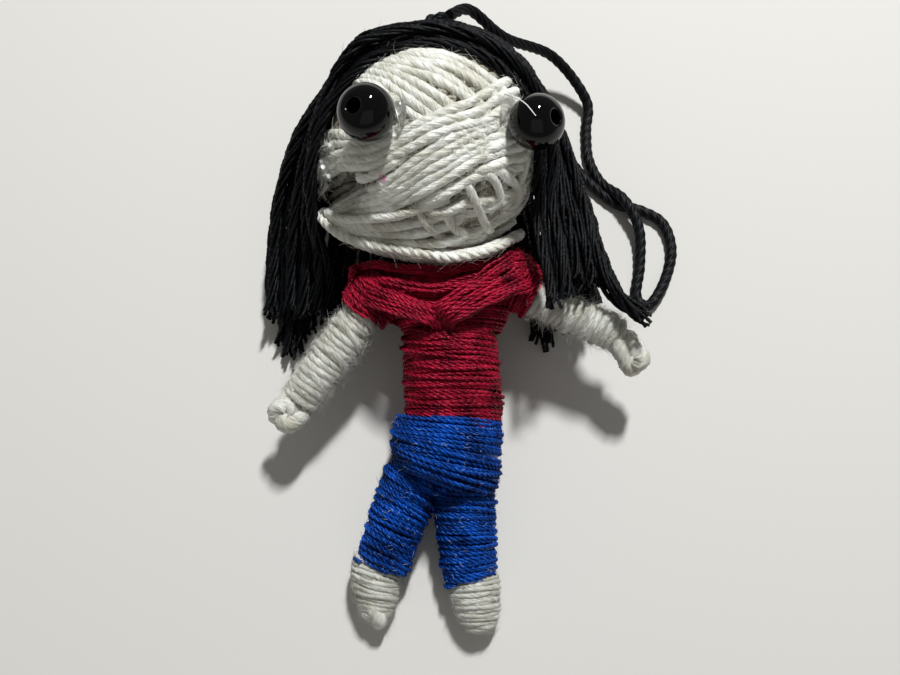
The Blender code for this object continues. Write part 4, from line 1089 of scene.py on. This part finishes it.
# Trousers
trousers = {"strands": 5, "spacing": 0.31, "step": yarns["blue"]["step"]}
draw = random.Random(33)
hipProfile = [(0, 4.7), (0.4, 4.9), (2.0, 5.1), (4.0, 5.1), (5.2, 4.8), (6.0, 4.2)]
hipThreads = windFloss((1.4, -26.3, 0), -3, hipProfile, trousers["strands"], trousers["spacing"],
                       trousers["step"], draw, jitter=0.24, lean=-0.03, tilt=(-0.05, 0.2))
hipThreads += windFloss((1.4, -26.4, 0), -3, raised(hipProfile, 0.14), 3, 0.8, trousers["step"],
                        draw, jitter=0.4, lean=0.05, tilt=(0, 0.26))
dress(spin("hipWinding", hipThreads, "blue", blueThread), "torso", "thread_blue", "trouser_hip_winding")
legs = {
    "left": {"place": (-2.5, -33.3, 0), "angle": -19, "body": "leg_left", "tilt": (0.1, 0.0),
             "profile": ((-2.6, 1.9), (-1.6, 2.5), (0, 2.62), (3, 2.5), (6, 2.42), (7.4, 2.34)),
             "foot": {"from": (-5.55, -40.2, 0), "turn": 2, "tilt": (0.3, 0.0),
                      "lumps": ((-0.1, 3.9), (0.2, 4.3)),
                      "profile": ((-0.5, 1.6), (0, 1.8), (1.0, 2.0), (2.2, 1.9), (3.4, 1.55), (4.4, 1.2),
                                  (5.2, 0.5))}},
    "right": {"place": (2.85, -33.3, 0), "angle": 4.5, "body": "leg_right", "tilt": (0.1, -0.14),
              "profile": ((-2.6, 2.0), (-1.6, 2.6), (0, 2.8), (3, 2.65), (6, 2.45), (8.1, 2.3)),
              "foot": {"from": (3.8, -41.1, 0), "turn": 7, "tilt": (-0.15, 0.05),
                       "lumps": ((-0.75, 3.4), (0.55, 3.1)),
                       "profile": ((-0.1, 1.8), (0.2, 1.95), (1.2, 2.15), (2.6, 2.0), (3.8, 1.75),
                                   (4.7, 1.3), (5.2, 0.5))}},
}
for side, leg in legs.items():
    threads = windFloss(leg["place"], leg["angle"], leg["profile"], trousers["strands"], trousers["spacing"],
                        trousers["step"], draw, jitter=0.18, lean=0.03, tilt=leg["tilt"])
    threads += windFloss(leg["place"], leg["angle"], raised(leg["profile"], 0.14), 3, 0.7,
                         trousers["step"], draw, jitter=0.4, lean=-0.05, tilt=leg["tilt"])
    dress(spin(f"{side}TrouserLeg", threads, "blue", blueThread), leg["body"], "thread_blue",
          f"trouser_leg_{side}_winding")
    for name, look, kind in (("Lint", paleLint, "legLint"), ("LegFuzz", blueThread, "leg")):
        loose = fuzz(f"{side}{name}", threads, lambda p: np.array((leg["place"][0], p[1], 0)), look, draw,
                     **looseFibres[kind])
        dress(loose, leg["body"], "thread_blue")
    foot = leg["foot"]
    ankle = np.array(foot["from"], float)
    wraps = windFloss(ankle, foot["turn"], foot["profile"], 3, 0.4, softStep, draw, jitter=0.12, lean=0.08,
                      tilt=foot["tilt"])
    wraps += windFloss(ankle, foot["turn"], raised(foot["profile"], 0.1), 3, 0.5, softStep, draw,
                       jitter=0.2, lean=-0.1, tilt=foot["tilt"])
    wraps = [aboveTable(path, 0.38) for path in wraps]
    dress(spin(f"{side}Foot", wraps, "soft", limbYarn), leg["body"], "yarn_cream", f"foot_{side}_winding")
    down, across = limbWays(foot["turn"])
    toes = []
    for shift, reach in foot["lumps"]:
        angle = np.linspace(-1.9, 1.9, 24)[:, None]
        toe = ankle + down * (reach + np.cos(angle) * 0.9) + across * (shift + 0.15 * np.sin(angle * 2))
        toes.append(resample(toe + outward * np.sin(angle) * 1.1, step))
    dress(spin(f"{side}Toes", toes, "cream", limbYarn, 1.6), leg["body"], "yarn_cream")
    footFibres = fuzz(f"{side}FootFuzz", wraps + toes, lambda p: ankle - np.array((0, 2, 0)), limbFuzz,
                      draw, **looseFibres["foot"])
    dress(footFibres, leg["body"], "yarn_cream")
for name, look, kind in (("hipLint", paleLint, "hipLint"), ("hipFuzz", blueThread, "hips")):
    loose = fuzz(name, hipThreads, lambda p: np.array((1.3, p[1], 0)), look, draw, **looseFibres[kind])
    dress(loose, "torso", "thread_blue")
print("trousers and feet wound")

# Stems and stuffing inside
inside = {"pipe_cleaner": creamFuzz, "torso_padding": crimsonThread, "hip_padding": blueThread,
          "leg_left_padding": blueThread, "leg_right_padding": blueThread, "foot": creamYarn,
          "sleeve": crimsonThread}
for name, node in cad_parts.items():
    for part, look in inside.items():
        if part in name:
            node.data.materials.clear()
            node.data.materials.append(look)

# Floor and light
floorSize = 1.2
bpy.ops.mesh.primitive_plane_add(size=floorSize)
floor = bpy.context.object
floor.name = "floor"
floorLook, nodes, links, shader = newMaterial("floorPaper")
shader.inputs["Base Color"].default_value = (0.64, 0.635, 0.61, 1)
shader.inputs["Roughness"].default_value = 0.9
floor.data.materials.append(floorLook)

lamps = {
    "key": {"place": (0.06, 0.16, 0.32), "size": (0.022, 0.05), "power": 1.5},
    "fill": {"place": (0.0, -0.22, 0.22), "size": (0.30, 0.30), "power": 0.06},
}
for name, lamp in lamps.items():
    lightData = bpy.data.lights.new(name, "AREA")
    lightData.shape = "RECTANGLE"
    lightData.size, lightData.size_y = lamp["size"]
    lightData.energy = lamp["power"]
    light = bpy.data.objects.new(name, lightData)
    bpy.context.scene.collection.objects.link(light)
    light.location = lamp["place"]
    light.rotation_euler = (-Vector(lamp["place"])).to_track_quat("-Z", "Y").to_euler()
world = bpy.data.worlds.new("studio")
world.use_nodes = True
world.node_tree.nodes["Background"].inputs["Color"].default_value = (1.0, 0.98, 0.92, 1)
world.node_tree.nodes["Background"].inputs["Strength"].default_value = 0.17
bpy.context.scene.world = world
bpy.context.scene.view_settings.view_transform = "Standard"
